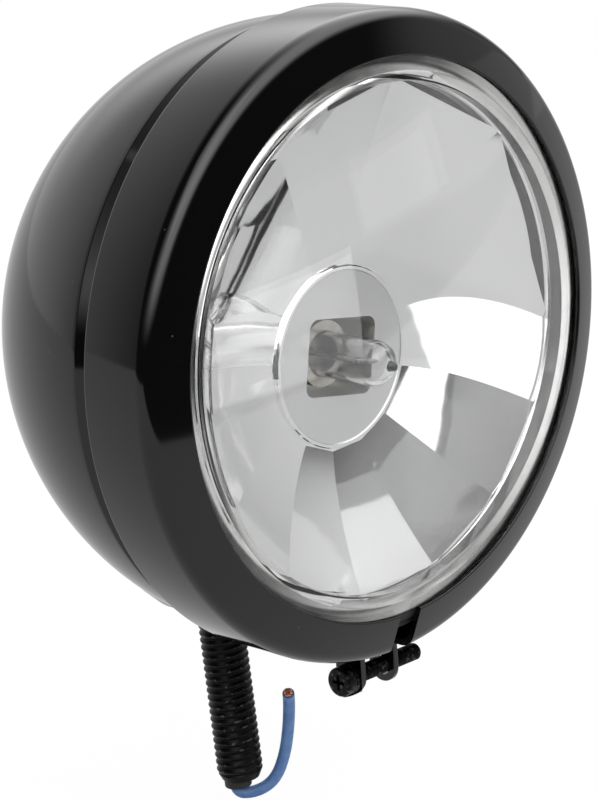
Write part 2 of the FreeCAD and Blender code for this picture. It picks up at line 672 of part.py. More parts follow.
def make_reflector():
    """Moulded reflector: curved strips of facets round a raised disc with the bulb's well."""
    body = new_body("reflector")
    wall = "dims.reflector_wall"
    drop = "dims.bulb_drop"
    half_drop = "dims.bulb_drop / 2"
    back = [
        facet_ring(body, "back_mouth", f"{MOUTH_R} + {wall}", MOUTH, "0", 1),
        facet_ring(body, "back_tier", f"{TIER_R} + {wall}", f"{TIER} + {wall}", half_drop, 0.5),
        facet_ring(body, "back_floor", f"{FLOOR_R} + {wall}", REFLECTOR_BACK, drop, 0),
    ]
    loft(body, "Additive", "back_facets", back)
    flange = new_sketch(body, "flange", "XZ_Plane", f"-{MOUTH}")
    draw_circle(flange, "0", "0", FLANGE_R)
    pad(body, flange, "dims.flange", reverse=True)
    front = [
        facet_ring(body, "front_mouth", MOUTH_R, MOUTH, "0", 1),
        facet_ring(body, "front_tier", TIER_R, TIER, half_drop, 0.5),
        facet_ring(body, "front_floor", FLOOR_R, FLOOR, drop, 0),
    ]
    loft(body, "Subtractive", "front_facets", front)
    disc = new_sketch(body, "disc", "XZ_Plane", f"-{REFLECTOR_BACK}")
    draw_circle(disc, "0", f"-{drop}", "dims.disc_d / 2")
    pad(body, disc, "dims.disc_rise + dims.reflector_wall")
    block = new_sketch(body, "well_block", "XZ_Plane", f"-{FLOOR}")
    outside = f"({WELL_ACROSS} + dims.well_wall)"
    above = f"({HOOK_INSIDE} + dims.hook_stem + dims.hook_margin)"
    draw_box(block, f"-{outside}", outside, f"-{above} - {drop}", f"{above} - {drop}")
    pad(body, block, "dims.well_depth + dims.reflector_wall", reverse=True)
    make_clip_hooks(body)
    well = new_sketch(body, "well", "XZ_Plane")
    across, upright, corner = WELL_ACROSS, WELL_UPRIGHT, "dims.well_corner"
    draw(
        well,
        (
            (f"-{across}", f"{corner} - {upright} - {drop}", "leaving"),
            (f"{corner} - {across}", f"-{upright} - {drop}"),
            (f"{across} - {corner}", f"-{upright} - {drop}", "leaving"),
            (across, f"{corner} - {upright} - {drop}"),
            (across, f"{upright} - {corner} - {drop}", "leaving"),
            (f"{across} - {corner}", f"{upright} - {drop}"),
            (f"{corner} - {across}", f"{upright} - {drop}", "leaving"),
            (f"-{across}", f"{upright} - {corner} - {drop}"),
        ),
    )
    pocket(body, well, f"4 * {WELL_BACK}", middle=True)
    place_on_axis(body, "dims.unit_turn")


def make_clip_hooks(body):
    """Four hooks on the well's back edge that hold down the bulb clip's arms."""
    under = f"{BULB_FLANGE_BACK} + dims.clip_d + dims.fit_gap"
    cap = f"{under} + dims.hook_stem"
    root = f"{WELL_BACK} - dims.well_depth / 2"
    chord = f"({BULB_FLANGE_R} + dims.fit_gap) ^ 2 - {HOOK_INSIDE} ^ 2"
    place = f"(sqrt(max(0; {chord})) + dims.hook_width / 2)"
    for side, sense in (("left", "-"), ("right", "")):
        sketch = new_sketch(body, f"hooks_{side}", "YZ_Plane", sense + place)
        for sign in ("", "-"):
            stem = f"{sign}{HOOK_INSIDE} - dims.bulb_drop"
            outer = f"{sign}({HOOK_INSIDE} + dims.hook_stem) - dims.bulb_drop"
            reach = f"{sign}({HOOK_INSIDE} - dims.hook_reach) - dims.bulb_drop"
            draw(
                sketch,
                (
                    (root, stem),
                    (under, stem),
                    (under, reach),
                    (cap, reach),
                    (cap, outer),
                    (root, outer),
                ),
            )
        pad(body, sketch, "dims.hook_width", middle=True)


def make_rim_gasket():
    """Rubber ring of L section: round the lens edge and behind the reflector's flange."""
    body = new_body("rim_gasket")
    inside = f"{LENS_R} + dims.fit_gap"
    outside = f"{inside} + dims.gasket_wall"
    turned(
        body,
        "ring",
        (
            (f"{LENS_SEAT} + dims.lens_edge / 2", inside),
            (f"{LENS_SEAT} + dims.lens_edge / 2", outside),
            (RIM_FRONT, outside),
            (RIM_FRONT, RIM_OPENING_R),
            (FLANGE_BACK, RIM_OPENING_R),
            (FLANGE_BACK, inside),
        ),
    )
    place_on_axis(body)


def place_on_bulb(piece):
    """Puts a piece drawn about the bulb's own axis, which lies below the optical axis."""
    place_on_axis(piece, "dims.unit_turn")
    piece.setExpression("Placement.Base.x", "-dims.bulb_drop * sin(dims.unit_turn)")
    height = f"{AXIS_HEIGHT} - dims.bulb_drop * cos(dims.unit_turn)"
    piece.setExpression("Placement.Base.z", height)


def make_bulb_envelope():
    """Clear capsule of the halogen bulb with a round end and a sealed tip."""
    body = new_body("bulb_envelope")
    inside = f"{CAPSULE_R} - dims.capsule_glass"
    crown = f"{CUP_FLOOR} - dims.capsule_length"
    shoulder = f"{crown} + {CAPSULE_R}"
    tip = "dims.tip_d / 2"
    tip_root = f"{shoulder} - sqrt({CAPSULE_R} ^ 2 - ({tip}) ^ 2)"
    turned(
        body,
        "capsule",
        (
            (CUP_FLOOR, inside),
            (CUP_FLOOR, CAPSULE_R),
            (shoulder, CAPSULE_R, "axis"),
            (tip_root, tip),
            (f"{crown} - dims.tip_length + {tip}", tip, "axis"),
            (f"{crown} - dims.tip_length", "0"),
            (f"{crown} + dims.capsule_glass", "0", "axis"),
            (shoulder, inside),
        ),
    )
    place_on_bulb(body)


def make_bulb_base():
    """Metal cup that holds the capsule, with the flange that seats on the well."""
    body = new_body("bulb_base")
    cup_front = f"{WELL_BACK} - dims.cup_height"
    turned(
        body,
        "cup",
        (
            (cup_front, SOCKET_R),
            (cup_front, CUP_R),
            (WELL_BACK, CUP_R),
            (WELL_BACK, BULB_FLANGE_R),
            (BULB_FLANGE_BACK, BULB_FLANGE_R),
            (BULB_FLANGE_BACK, "0"),
            (CUP_FLOOR, "0"),
            (CUP_FLOOR, SOCKET_R),
        ),
    )
    flats = new_sketch(body, "flats", "XZ_Plane")
    edge = f"({BULB_FLANGE_R} - dims.bulb_flat)"
    far = f"(2 * {BULB_FLANGE_R})"
    draw_box(flats, f"-{far}", far, edge, far)
    draw_box(flats, f"-{far}", far, f"-{far}", f"-{edge}")
    pocket(body, flats, f"4 * {BULB_FLANGE_BACK}", middle=True)
    place_on_bulb(body)


def make_bulb_filament():
    """Filament coil, straight across the capsule."""
    body = new_body("bulb_filament")
    sketch = new_sketch(body, "coil", "YZ_Plane")
    draw_circle(sketch, f"{WELL_BACK} - dims.filament_height", "0", "dims.filament_d / 2")
    pad(body, sketch, "dims.filament_length", middle=True)
    place_on_bulb(body)


def make_bulb_support_wires():
    """Two wires that stand on the cup's floor and carry the filament's ends."""
    start = value(CUP_FLOOR)
    end = value(f"{WELL_BACK} - dims.filament_height - dims.filament_d / 2")
    radius = value("dims.support_d / 2")
    across = value("dims.filament_length / 2 + dims.support_d / 2")
    backwards = Vector(0, 1, 0)
    wires = []
    for side in (-1, 1):
        foot = Vector(side * across, end, 0)
        wires.append(Part.makeCylinder(radius, start - end, foot, backwards))
    piece = doc.addObject("Part::Feature", "bulb_support_wires")
    piece.Shape = Part.makeCompound(wires)
    pieces.append(piece)
    place_on_bulb(piece)


def make_bulb_insulator():
    """Ceramic plug behind the flange, where the bulb's lead comes out."""
    body = new_body("bulb_insulator")
    sketch = new_sketch(body, "plug", "XZ_Plane", f"-{BULB_FLANGE_BACK}")
    draw_circle(sketch, "0", "0", INSULATOR_R)
    pad(body, sketch, "dims.insulator", reverse=True)
    place_on_bulb(body)


def make_bulb_clip():
    """Spring-wire hairpin that lies across the bulb's flange under the hooks."""
    body = new_body("bulb_clip")
    path = new_sketch(body, "hairpin", "XZ_Plane", f"-{CLIP_PLANE}")
    half = value(CLIP_HALF)
    reach = value(CLIP_REACH)
    upper = path.addGeometry(Part.LineSegment(Vector(-reach, half, 0), Vector(reach, half, 0)))
    lower = path.addGeometry(Part.LineSegment(Vector(reach, -half, 0), Vector(-reach, -half, 0)))
    circle = Part.Circle(Vector(reach, 0, 0), Vector(0, 0, 1), half)
    loop = path.addGeometry(Part.ArcOfCircle(circle, -math.pi / 2, math.pi / 2))
    path.addConstraint(Sketcher.Constraint("Tangent", upper, 2, loop, 2))
    path.addConstraint(Sketcher.Constraint("Coincident", loop, 1, lower, 1))
    pin(path, upper, 1, f"-{CLIP_REACH}", CLIP_HALF)
    pin(path, upper, 2, CLIP_REACH, CLIP_HALF)
    pin(path, lower, 1, CLIP_REACH, f"-{CLIP_HALF}")
    pin(path, lower, 2, f"-{CLIP_REACH}", f"-{CLIP_HALF}")
    section = new_sketch(body, "section", "YZ_Plane", f"-{CLIP_REACH}")
    draw_circle(section, CLIP_PLANE, CLIP_HALF, "dims.clip_d / 2")
    wire = body.newObject("PartDesign::AdditivePipe", "wire")
    wire.Profile = section
    wire.Spine = path
    place_on_bulb(body)


def make_mounting_stud():
    """Hollow stud: a threaded end with a chamfer below, a plain shank and a top for the nut."""
    body = new_body("mounting_stud")
    end = "-dims.stud_length"
    turned(
        body,
        "stud",
        (
            (BORE_R, end),
            (f"{STUD_R} - dims.stud_chamfer", end),
            (STUD_R, f"{end} + dims.stud_chamfer_length"),
            (STUD_R, "0"),
            (SHANK_R, "0"),
            (SHANK_R, TAG_TOP),
            (STUD_R, TAG_TOP),
            (STUD_R, STUD_TOP),
            (BORE_R, STUD_TOP),
        ),
        axis="V_Axis",
    )


def ball_cut(label, height, radius, ball, keep_inside, foot=()):
    """A bored cylinder on the stud axis, on a foot or none, cut to a ball about the bowl's centre."""
    blank = doc.addObject("Part::Cylinder", f"{label}_blank")
    blank.setExpression("Radius", radius)
    blank.setExpression("Height", height)
    bore = doc.addObject("Part::Cylinder", f"{label}_bore")
    bore.setExpression("Radius", SHANK_HOLE_R)
    bore.setExpression("Height", height)
    bowl = doc.addObject("Part::Sphere", f"{label}_bowl")
    bowl.setExpression("Radius", ball)
    bowl.setExpression("Placement.Base.y", f"-{STUD_OFFSET}")
    bowl.setExpression("Placement.Base.z", AXIS_HEIGHT)
    if foot:
        footed = doc.addObject("Part::MultiFuse", f"{label}_footed")
        footed.Shapes = [blank, *foot]
        blank = footed
    bored = doc.addObject("Part::Cut", f"{label}_bored")
    bored.Base = blank
    bored.Tool = bore
    piece = doc.addObject("Part::Common" if keep_inside else "Part::Cut", label)
    piece.Label = label
    piece.Base = bored
    piece.Tool = bowl
    pieces.append(piece)


def make_saddles():
    """Saddle outside the bucket and wedge washer inside it, each shaped to the bowl."""
    outside = f"({BOWL_R} + dims.fit_gap)"
    inside = f"({BOWL_INSIDE_R} - dims.fit_gap)"
    rear = f"({STUD_OFFSET} + {SADDLE_R})"
    top = f"{AXIS_HEIGHT} - sqrt({outside} ^ 2 - {rear} ^ 2) + dims.bucket_sheet"
    foot = doc.addObject("Part::Cylinder", "saddle_foot")
    foot.setExpression("Radius", FOOT_R)
    foot.setExpression("Height", "dims.foot_height")
    taper = doc.addObject("Part::Cone", "saddle_taper")
    taper.setExpression("Radius1", FOOT_R)
    taper.setExpression("Radius2", SADDLE_R)
    taper.setExpression("Height", "dims.foot_taper")
    taper.setExpression("Placement.Base.z", "dims.foot_height")
    ball_cut("stud_saddle", top, SADDLE_R, outside, keep_inside=False, foot=(foot, taper))
    ball_cut("stud_wedge_washer", WEDGE_TOP, WEDGE_R, inside, keep_inside=True)


def make_ground_terminal():
    """Ring tag under the lock washer, with a tongue for the earth lead."""
    body = new_body("ground_terminal")
    sketch = new_sketch(body, "tag", "XY_Plane", WEDGE_TOP)
    draw_circle(sketch, "0", "0", TAG_R)
    pad(body, sketch, "dims.tag_sheet")
    tongue = new_sketch(body, "tongue", "XY_Plane", WEDGE_TOP)
    draw_box(tongue, "-dims.tag_width / 2", "dims.tag_width / 2", f"-{TAG_END}", "0")
    pad(body, tongue, "dims.tag_sheet")
    hole = new_sketch(body, "hole", "XY_Plane", WEDGE_TOP)
    draw_circle(hole, "0", "0", SHANK_HOLE_R)
    pocket(body, hole, "4 * dims.tag_sheet", middle=True)


def make_stud_lock_washer():
    body = new_body("stud_lock_washer")
    outside = f"({STUD_R} + dims.stud_washer_rim)"
    sketch = new_sketch(body, "washer", "XY_Plane", TAG_TOP)
    draw_circle(sketch, "0", "0", outside)
    draw_circle(sketch, "0", "0", f"{STUD_R} + dims.shank_gap")
    pad(body, sketch, "dims.stud_washer")
    split = new_sketch(body, "split", "XY_Plane", TAG_TOP)
    draw_box(split, "0", f"2 * {outside}", "-dims.washer_split / 2", "dims.washer_split / 2")
    pocket(body, split, "4 * dims.stud_washer", middle=True)


def make_stud_nut():
    """Hexagon nut on the stud's upper thread."""
    body = new_body("stud_nut")
    sketch = new_sketch(body, "hexagon", "XY_Plane", NUT_SEAT)
    corner = f"({STUD_R} + dims.nut_wall) / cos(30)"
    draw(sketch, [(f"{corner} * cos({a})", f"{corner} * sin({a})") for a in range(30, 390, 60)])
    draw_circle(sketch, "0", "0", f"{STUD_R} + dims.fit_gap")
    pad(body, sketch, "dims.nut_height")


def wire_plane(across, height, towards=0.0):
    """A point of the supply wire's route, in the plane through the stud axis or off it."""
    angle = math.radians(WIRE_PLANE_ANGLE)
    along = Vector(math.cos(angle), math.sin(angle), 0)
    facing = Vector(math.sin(angle), -math.cos(angle), 0)
    return along * across + facing * towards + Vector(0, 0, height)


def make_wire_sleeve():
    """Soft sleeve that keeps the supply wire off the stud's edge."""
    outside = doc.addObject("Part::Cylinder", "sleeve_outside")
    outside.setExpression("Radius", SLEEVE_R)
    inside = doc.addObject("Part::Cylinder", "sleeve_inside")
    inside.setExpression("Radius", f"{SLEEVE_R} - dims.sleeve_wall")
    shift = wire_plane(-1, 0)
    for cylinder in (outside, inside):
        cylinder.setExpression("Height", "dims.sleeve_length")
        cylinder.setExpression("Placement.Base.x", f"{SLEEVE_SHIFT} * {shift.x:.6f}")
        cylinder.setExpression("Placement.Base.y", f"{SLEEVE_SHIFT} * {shift.y:.6f}")
        cylinder.setExpression("Placement.Base.z", "-dims.stud_length - dims.sleeve_stand")
    piece = doc.addObject("Part::Cut", "wire_sleeve")
    piece.Base = outside
    piece.Tool = inside
    pieces.append(piece)


def make_supply_wire():
    """The free end of the supply wire, and its bare strands."""
    turn = wire_plane(*WIRE_TURN)
    route = [wire_plane(*point) for point in WIRE_ROUTE]
    start = turn + (route[0] - turn) * WIRE_START_SHARE
    tube("supply_wire", [start] + route, value("dims.wire_d"))
    along = (route[-1] - route[-2]).normalize()
    strands = doc.addObject("Part::Cylinder", "wire_strands")
    strands.setExpression("Radius", "dims.strand_d / 2")
    strands.setExpression("Height", "dims.strand_length")
    strands.Placement = FreeCAD.Placement(route[-1], FreeCAD.Rotation(Vector(0, 0, 1), along))
    pieces.append(strands)


def make_inner_leads():
    """Leads inside the bucket: bulb to connector, connector to the stud's end, and the earth."""
    turn = math.radians(value("dims.unit_turn"))
    drop = value("dims.bulb_drop")
    bulb_x = -drop * math.sin(turn)
    bulb_z = value(AXIS_HEIGHT) - drop * math.cos(turn)
    setback = value(STUD_SETBACK)
    gap = value("dims.fit_gap")
    wire = value("dims.wire_d")
    stud_top = value(STUD_TOP)
    insulator_back = value(INSULATOR_BACK) - setback

    connector_low = stud_top + value("dims.connector_clear")
    connector_high = connector_low + value("dims.connector_length")
    connector = doc.addObject("Part::Cylinder", "lead_connector")
    connector.setExpression("Radius", "dims.connector_d / 2")
    connector.setExpression("Height", "dims.connector_length")
    connector.setExpression("Placement.Base.z", f"{STUD_TOP} + dims.connector_clear")
    pieces.append(connector)

    rise = 2 * wire
    overhead = max(bulb_z, connector_high + rise)
    bulb_route = [
        Vector(bulb_x, insulator_back + 3 * gap, bulb_z),
        Vector(bulb_x / 2, insulator_back * ARC_SHARE, overhead + rise / 2),
        Vector(0, 0, connector_high + 2 * rise),
        Vector(0, 0, connector_high),
    ]
    tube("bulb_lead", bulb_route, wire)

    lean = wire_plane(*WIRE_TURN)
    exit_point = wire_plane(*WIRE_ROUTE[0])
    wire_start = lean + (exit_point - lean) * WIRE_START_SHARE
    tube("inner_lead", [Vector(0, 0, connector_low), lean, wire_start], wire)

    earth = value("dims.earth_d")
    tag_end = -value(TAG_END)
    tag_height = value(TAG_TOP) - value("dims.tag_sheet") / 2
    flange_back = value(BULB_FLANGE_BACK) - setback
    landing = bulb_z - value(BULB_FLANGE_R) + earth / 2 + 3 * gap
    stand_off = flange_back + 4 * earth
    earth_route = [
        Vector(0, tag_end - 3 * gap, tag_height),
        Vector(bulb_x / 3, (tag_end + stand_off) / 2 - earth, tag_height + earth),
        Vector(bulb_x, stand_off, (tag_height + landing) / 2),
        Vector(bulb_x, stand_off - earth / 2, landing),
        Vector(bulb_x, flange_back + gap, landing),
    ]
    tube("ground_lead", earth_route, earth)


def check_and_write():
    """Stops on any failed object, then writes one STEP file for each piece."""
    doc.recompute()
    failed = [o.Name for o in doc.Objects if {"Invalid", "Error"} & set(o.State)]
    failed += [p.Label for p in pieces if p.Shape.isNull() or not p.Shape.isValid()]
    if failed:
        raise RuntimeError("failed: " + ", ".join(failed))
    os.makedirs("parts", exist_ok=True)
    for piece in pieces:
        piece.Shape.exportStep(f"parts/{piece.Label}.step")
        box = piece.Shape.BoundBox
        size = f"{box.XLength:.1f} x {box.YLength:.1f} x {box.ZLength:.1f}"
        print(f"{piece.Label}: {len(piece.Shape.Solids)} solid, {size}, {piece.Shape.Volume:.1f}")


make_bucket()
make_retaining_ring()
make_clamp_screw()
make_clamp_lock_washer()
make_lens()
make_lens_sealant()
make_reflector()
make_rim_gasket()
make_bulb_envelope()
make_bulb_base()
make_bulb_filament()
make_bulb_support_wires()
make_bulb_insulator()
make_bulb_clip()
make_mounting_stud()
make_saddles()
make_ground_terminal()
make_stud_lock_washer()
make_stud_nut()
make_wire_sleeve()
make_supply_wire()
make_inner_leads()
check_and_write()
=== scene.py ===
# %% [markdown]
# # A black spot lamp with a clamp ring
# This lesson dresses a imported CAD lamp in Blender. The CAD solids are loaded as a fixed frame,
# in metres, with the origin on the lamp's mounting seat. Each visible piece is then modelled again
# with the smooth edges, threads and glass that a render needs, exactly where its solid sits.

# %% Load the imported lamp
import math

import bpy
from mathutils import Matrix, Vector


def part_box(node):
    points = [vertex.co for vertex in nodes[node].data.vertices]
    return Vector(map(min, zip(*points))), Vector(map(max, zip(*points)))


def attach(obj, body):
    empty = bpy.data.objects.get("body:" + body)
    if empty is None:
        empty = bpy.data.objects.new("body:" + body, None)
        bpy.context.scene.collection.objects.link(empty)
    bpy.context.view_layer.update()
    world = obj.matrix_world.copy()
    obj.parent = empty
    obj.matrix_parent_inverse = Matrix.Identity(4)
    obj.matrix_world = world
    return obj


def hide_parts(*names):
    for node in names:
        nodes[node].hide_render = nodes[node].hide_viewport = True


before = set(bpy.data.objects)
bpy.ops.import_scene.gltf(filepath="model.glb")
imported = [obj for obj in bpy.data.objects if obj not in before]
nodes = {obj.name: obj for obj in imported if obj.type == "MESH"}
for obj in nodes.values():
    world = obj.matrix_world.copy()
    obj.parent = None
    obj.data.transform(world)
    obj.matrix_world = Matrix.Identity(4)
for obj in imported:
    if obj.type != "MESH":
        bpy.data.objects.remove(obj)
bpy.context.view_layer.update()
print("CAD nodes:", len(nodes))

# %% [markdown]
# The camera is the photographer's: a long lens about a metre from the lamp, in front of it on its
# left, looking down. A camera can be aimed by hand, but here its three axes are worked out from the
# measured angles and put straight into its matrix, so the lamp lands where the picture has it.

# %% Camera
MM = 0.001
AXIS_HEIGHT = 61.5109
FRONT_SETBACK = 57.9057
VIEW_TURN = math.radians(-44.65)
VIEW_RISE = math.radians(18.92)
VIEW_ROLL = math.radians(-7.0)
VIEW_DISTANCE = 998.3
VIEW_SLIDE = (18.38, 11.30)
LENS_LENGTH = 233.78
SENSOR_WIDTH = 36
NEAREST_SEEN = 0.05


def lamp_point(across, depth, height):
    """A point in metres, from millimetres off the lamp's axis and behind the ring's front edge."""
    return Vector((across, depth - FRONT_SETBACK, height + AXIS_HEIGHT)) * MM


backward = Vector((math.sin(VIEW_TURN) * math.cos(VIEW_RISE),
                   -math.cos(VIEW_TURN) * math.cos(VIEW_RISE),
                   math.sin(VIEW_RISE)))
level = Vector((math.cos(VIEW_TURN), math.sin(VIEW_TURN), 0))
upright = backward.cross(level)
right = level * math.cos(VIEW_ROLL) + upright * math.sin(VIEW_ROLL)
up = upright * math.cos(VIEW_ROLL) - level * math.sin(VIEW_ROLL)
stand = backward * VIEW_DISTANCE - right * VIEW_SLIDE[0] - up * VIEW_SLIDE[1]
camera = bpy.data.objects.new("camera", bpy.data.cameras.new("camera"))
bpy.context.scene.collection.objects.link(camera)
aim = Matrix((right, up, backward)).transposed().to_4x4()
camera.matrix_world = Matrix.Translation(lamp_point(*stand)) @ aim
camera.data.lens = LENS_LENGTH
camera.data.sensor_width = SENSOR_WIDTH
camera.data.clip_start = NEAREST_SEEN
bpy.context.scene.camera = camera
bpy.context.scene.view_settings.view_transform = "Standard"
print("camera at", [round(x, 3) for x in camera.location])

# %% [markdown]
# The blue supply wire leaves the hollow stud inside a short sleeve and turns up beside it. A wire
# could be a mesh tube, but a NURBS curve with a round bevel stays smooth at any zoom. The route's
# points are its control points, so the curve eases round each corner as stiff plastic does.

# %% Supply wire
WIRE_D = 2.5
WIRE_ROUNDNESS = 8
WIRE_SMOOTHNESS = 16
WIRE_ROUTE = (
    (-1.4, -40.11, 0.0),
    (-2.0, -45.3, 0.0),
    (2.6, -45.9, 0.0),
    (6.9, -43.7, 0.0),
    (9.5, -38.4, 0.0),
    (11.0, -32.2, 0.0),
    (11.8, -26.4, 0.0),
    (11.8, -24.2, 1.8),
)


def wire_point(across, height, towards):
    """A point of the wire: across the picture, above the seat and towards the viewer."""
    along = Vector((math.cos(VIEW_TURN), math.sin(VIEW_TURN), 0))
    facing = Vector((math.sin(VIEW_TURN), -math.cos(VIEW_TURN), 0))
    return (along * across + facing * towards + Vector((0, 0, height))) * MM


wire_curve = bpy.data.curves.new("blue_supply_wire", "CURVE")
wire_curve.dimensions = "3D"
wire_curve.bevel_depth = WIRE_D / 2 * MM
wire_curve.bevel_resolution = WIRE_ROUNDNESS
wire_curve.resolution_u = WIRE_SMOOTHNESS
wire_curve.use_fill_caps = True
spline = wire_curve.splines.new("NURBS")
spline.points.add(len(WIRE_ROUTE) - 1)
for control, place in zip(spline.points, WIRE_ROUTE):
    control.co = (*wire_point(*place), 1)
spline.order_u = 3
spline.use_endpoint_u = True
blue_wire = bpy.data.objects.new("blue_supply_wire", wire_curve)
bpy.context.scene.collection.objects.link(blue_wire)
print("wire control points:", len(spline.points))

# %% [markdown]
# A few small helpers stand in for the hand. One draws an outline by extruding a single vertex from
# point to point, one closes a mesh and gives it smooth shading, and one spins an outline round an
# axis as a lathe does.

# %% Drawing and spinning
MERGE = 0.002 * MM
SMOOTH = 30


def pick_only(piece):
    """Make one object the active and only selected one."""
    bpy.ops.object.select_all(action="DESELECT")
    piece.select_set(True)
    bpy.context.view_layer.objects.active = piece


def draw_outline(name, points):
    """A chain of edges through the points, left selected in edit mode."""
    bpy.ops.object.select_all(action="DESELECT")
    bpy.ops.mesh.primitive_plane_add(size=MM, location=(0, 0, 0))
    piece = bpy.context.active_object
    piece.name = name
    piece.data.name = name
    bpy.ops.object.mode_set(mode="EDIT")
    bpy.ops.mesh.select_mode(type="VERT")
    bpy.ops.mesh.select_all(action="SELECT")
    bpy.ops.mesh.merge(type="CENTER")
    bpy.ops.transform.translate(value=points[0])
    for here, there in zip(points, points[1:]):
        bpy.ops.mesh.extrude_region_move(TRANSFORM_OT_translate={"value": there - here})
    bpy.ops.mesh.select_all(action="SELECT")
    return piece


def close_mesh(piece, smooth=SMOOTH):
    """Merge doubles, point the faces outwards and leave edit mode with smooth shading."""
    bpy.ops.mesh.select_all(action="SELECT")
    bpy.ops.mesh.remove_doubles(threshold=MERGE)
    bpy.ops.mesh.normals_make_consistent(inside=False)
    bpy.ops.object.mode_set(mode="OBJECT")
    pick_only(piece)
    bpy.ops.object.shade_smooth_by_angle(angle=math.radians(smooth))
    return piece


def spin_outline(name, points, centre, axis, steps):
    """A turned piece: the outline is spun once round the axis."""
    piece = draw_outline(name, points)
    bpy.ops.mesh.spin(steps=steps, angle=math.tau, center=centre, axis=axis)
    return close_mesh(piece)


# %% [markdown]
# Other helpers add the block that most cuts and lugs start from, put a piece's place into its mesh,
# copy a piece together with its mesh, and cut or join two meshes with a Boolean. The exact solver is
# slower than the fast one, but safer where faces nearly touch.

# %% Blocks, copies and cuts


def add_block(place, size, turn=(0, 0, 0)):
    """A block with its middle at a place in metres and its sides in millimetres, left active."""
    bpy.ops.object.select_all(action="DESELECT")
    sides = [side * MM for side in size]
    bpy.ops.mesh.primitive_cube_add(size=1, location=place, rotation=turn, scale=sides)
    return bpy.context.active_object


def settle(piece):
    """Put a piece's place, turn and scale into its mesh."""
    pick_only(piece)
    bpy.ops.object.transform_apply(location=True, rotation=True, scale=True)
    return piece


def copy_of(piece, name):
    """A copy with its own mesh."""
    twin = piece.copy()
    twin.data = piece.data.copy()
    twin.name = name
    bpy.context.scene.collection.objects.link(twin)
    return twin


def combine(piece, tool, operation="DIFFERENCE", smooth=SMOOTH):
    """Cut a piece with a tool, or join the two, and use the tool up."""
    change = piece.modifiers.new("change", "BOOLEAN")
    change.operation = operation
    change.solver = "EXACT"
    change.object = tool
    pick_only(piece)
    bpy.ops.object.modifier_apply(modifier=change.name)
    bpy.data.objects.remove(tool, do_unlink=True)
    bpy.ops.object.shade_smooth_by_angle(angle=math.radians(smooth))
    return piece


# %% [markdown]
# Most of the lamp is turned, so most pieces start as a section: how deep a point lies behind the
# ring's front, and how far from the axis. Pressed steel and glass have no sharp corners, so one
# helper draws each corner of a section as a small arc, and another draws one plain arc.

# %% Sections with rounded corners
ARC_STEP = 15
STRAIGHT = 0.01


def round_corners(corners):
    """A closed outline of (depth, radius, rounding) corners, each rounding drawn as an arc."""
    outline = []
    for index, (depth, radius, rounding) in enumerate(corners):
        corner = Vector((depth, radius))
        before = (Vector(corners[index - 1][:2]) - corner).normalized()
        after = (Vector(corners[(index + 1) % len(corners)][:2]) - corner).normalized()
        spread = before.angle(after)
        if not rounding or math.pi - spread < STRAIGHT:
            outline.append(corner)
            continue
        middle = corner + (before + after).normalized() * rounding / math.sin(spread / 2)
        start = corner + before * rounding / math.tan(spread / 2)
        swing = math.pi - spread
        turn = swing if before.cross(after) < 0 else -swing
        count = max(2, round(math.degrees(swing) / ARC_STEP))
        for share in range(count + 1):
            angle = -turn * share / count
            outline.append(middle + Matrix.Rotation(-angle, 2) @ (start - middle))
    return outline


def arc(centre, radius, start, end, count):
    """Points of an arc in the (depth, radius) plane, angles in degrees."""
    angles = [math.radians(start + (end - start) * share / count) for share in range(count + 1)]
    middle = Vector(centre)
    return [middle + Vector((math.cos(a), math.sin(a))) * radius for a in angles]


# %% [markdown]
# A section is spun about the lamp's own axis, which runs from front to back. Each finished piece is
# measured against its CAD node at once, so that a slip shows in the printout.

# %% Turning on the lamp's axis
AXIS_CENTRE = lamp_point(0, 0, 0)
LAMP_AXIS = (0, 1, 0)


def spin_on_axis(name, outline, steps=160, closed=True):
    """A piece turned about the lamp's axis from a (depth, radius) outline."""
    points = [lamp_point(0, depth, radius) for depth, radius in outline]
    if closed:
        points.append(points[0])
    return spin_outline(name, points, AXIS_CENTRE, LAMP_AXIS, steps)


def compare(piece, node):
    """Print how far a piece's box is from its CAD node's box, in millimetres."""
    bpy.context.view_layer.update()
    low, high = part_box(node)
    corners = [piece.matrix_world @ Vector(c) for c in piece.bound_box]
    off = []
    for side in range(3):
        values = [c[side] for c in corners]
        off.append((min(values) - low[side]) / MM)
        off.append((max(values) - high[side]) / MM)
    print(piece.name, "box off by", [round(x, 2) for x in off], "triangles",
          sum(len(p.vertices) - 2 for p in piece.data.polygons))


# %% [markdown]
# The bucket is a deep-drawn steel bowl. Its rim turns in behind the lens, a shallow groove is rolled
# round it for the ring's lip, and the rest is half a ball. It is spun from one closed section, inner
# wall included, and the hole for the stud is cut with a cylinder.

# %% Bucket
BUCKET_R = 62.0
BUCKET_SHEET = 0.9
RIM_FRONT = 8.577
RIM_OPENING_R = 55.5
RIM_BEND = 1.6
GROOVE = (18.6, 19.1, 23.0, 25.0)
GROOVE_FLOOR_R = 60.9
SEAM_DEPTH = 0.9
RING_WIDTH = 20.6
BOWL_R = 61.3
EQUATOR = 20.25
STUD_HOLE_R = 5.15
DRILL_LENGTH = 0.04
DRILL_HEIGHT = 0.01


def bowl_radius(depth):
    """How far the ball of the bowl is from the axis at a depth."""
    return math.sqrt(BOWL_R ** 2 - (depth - EQUATOR) ** 2)


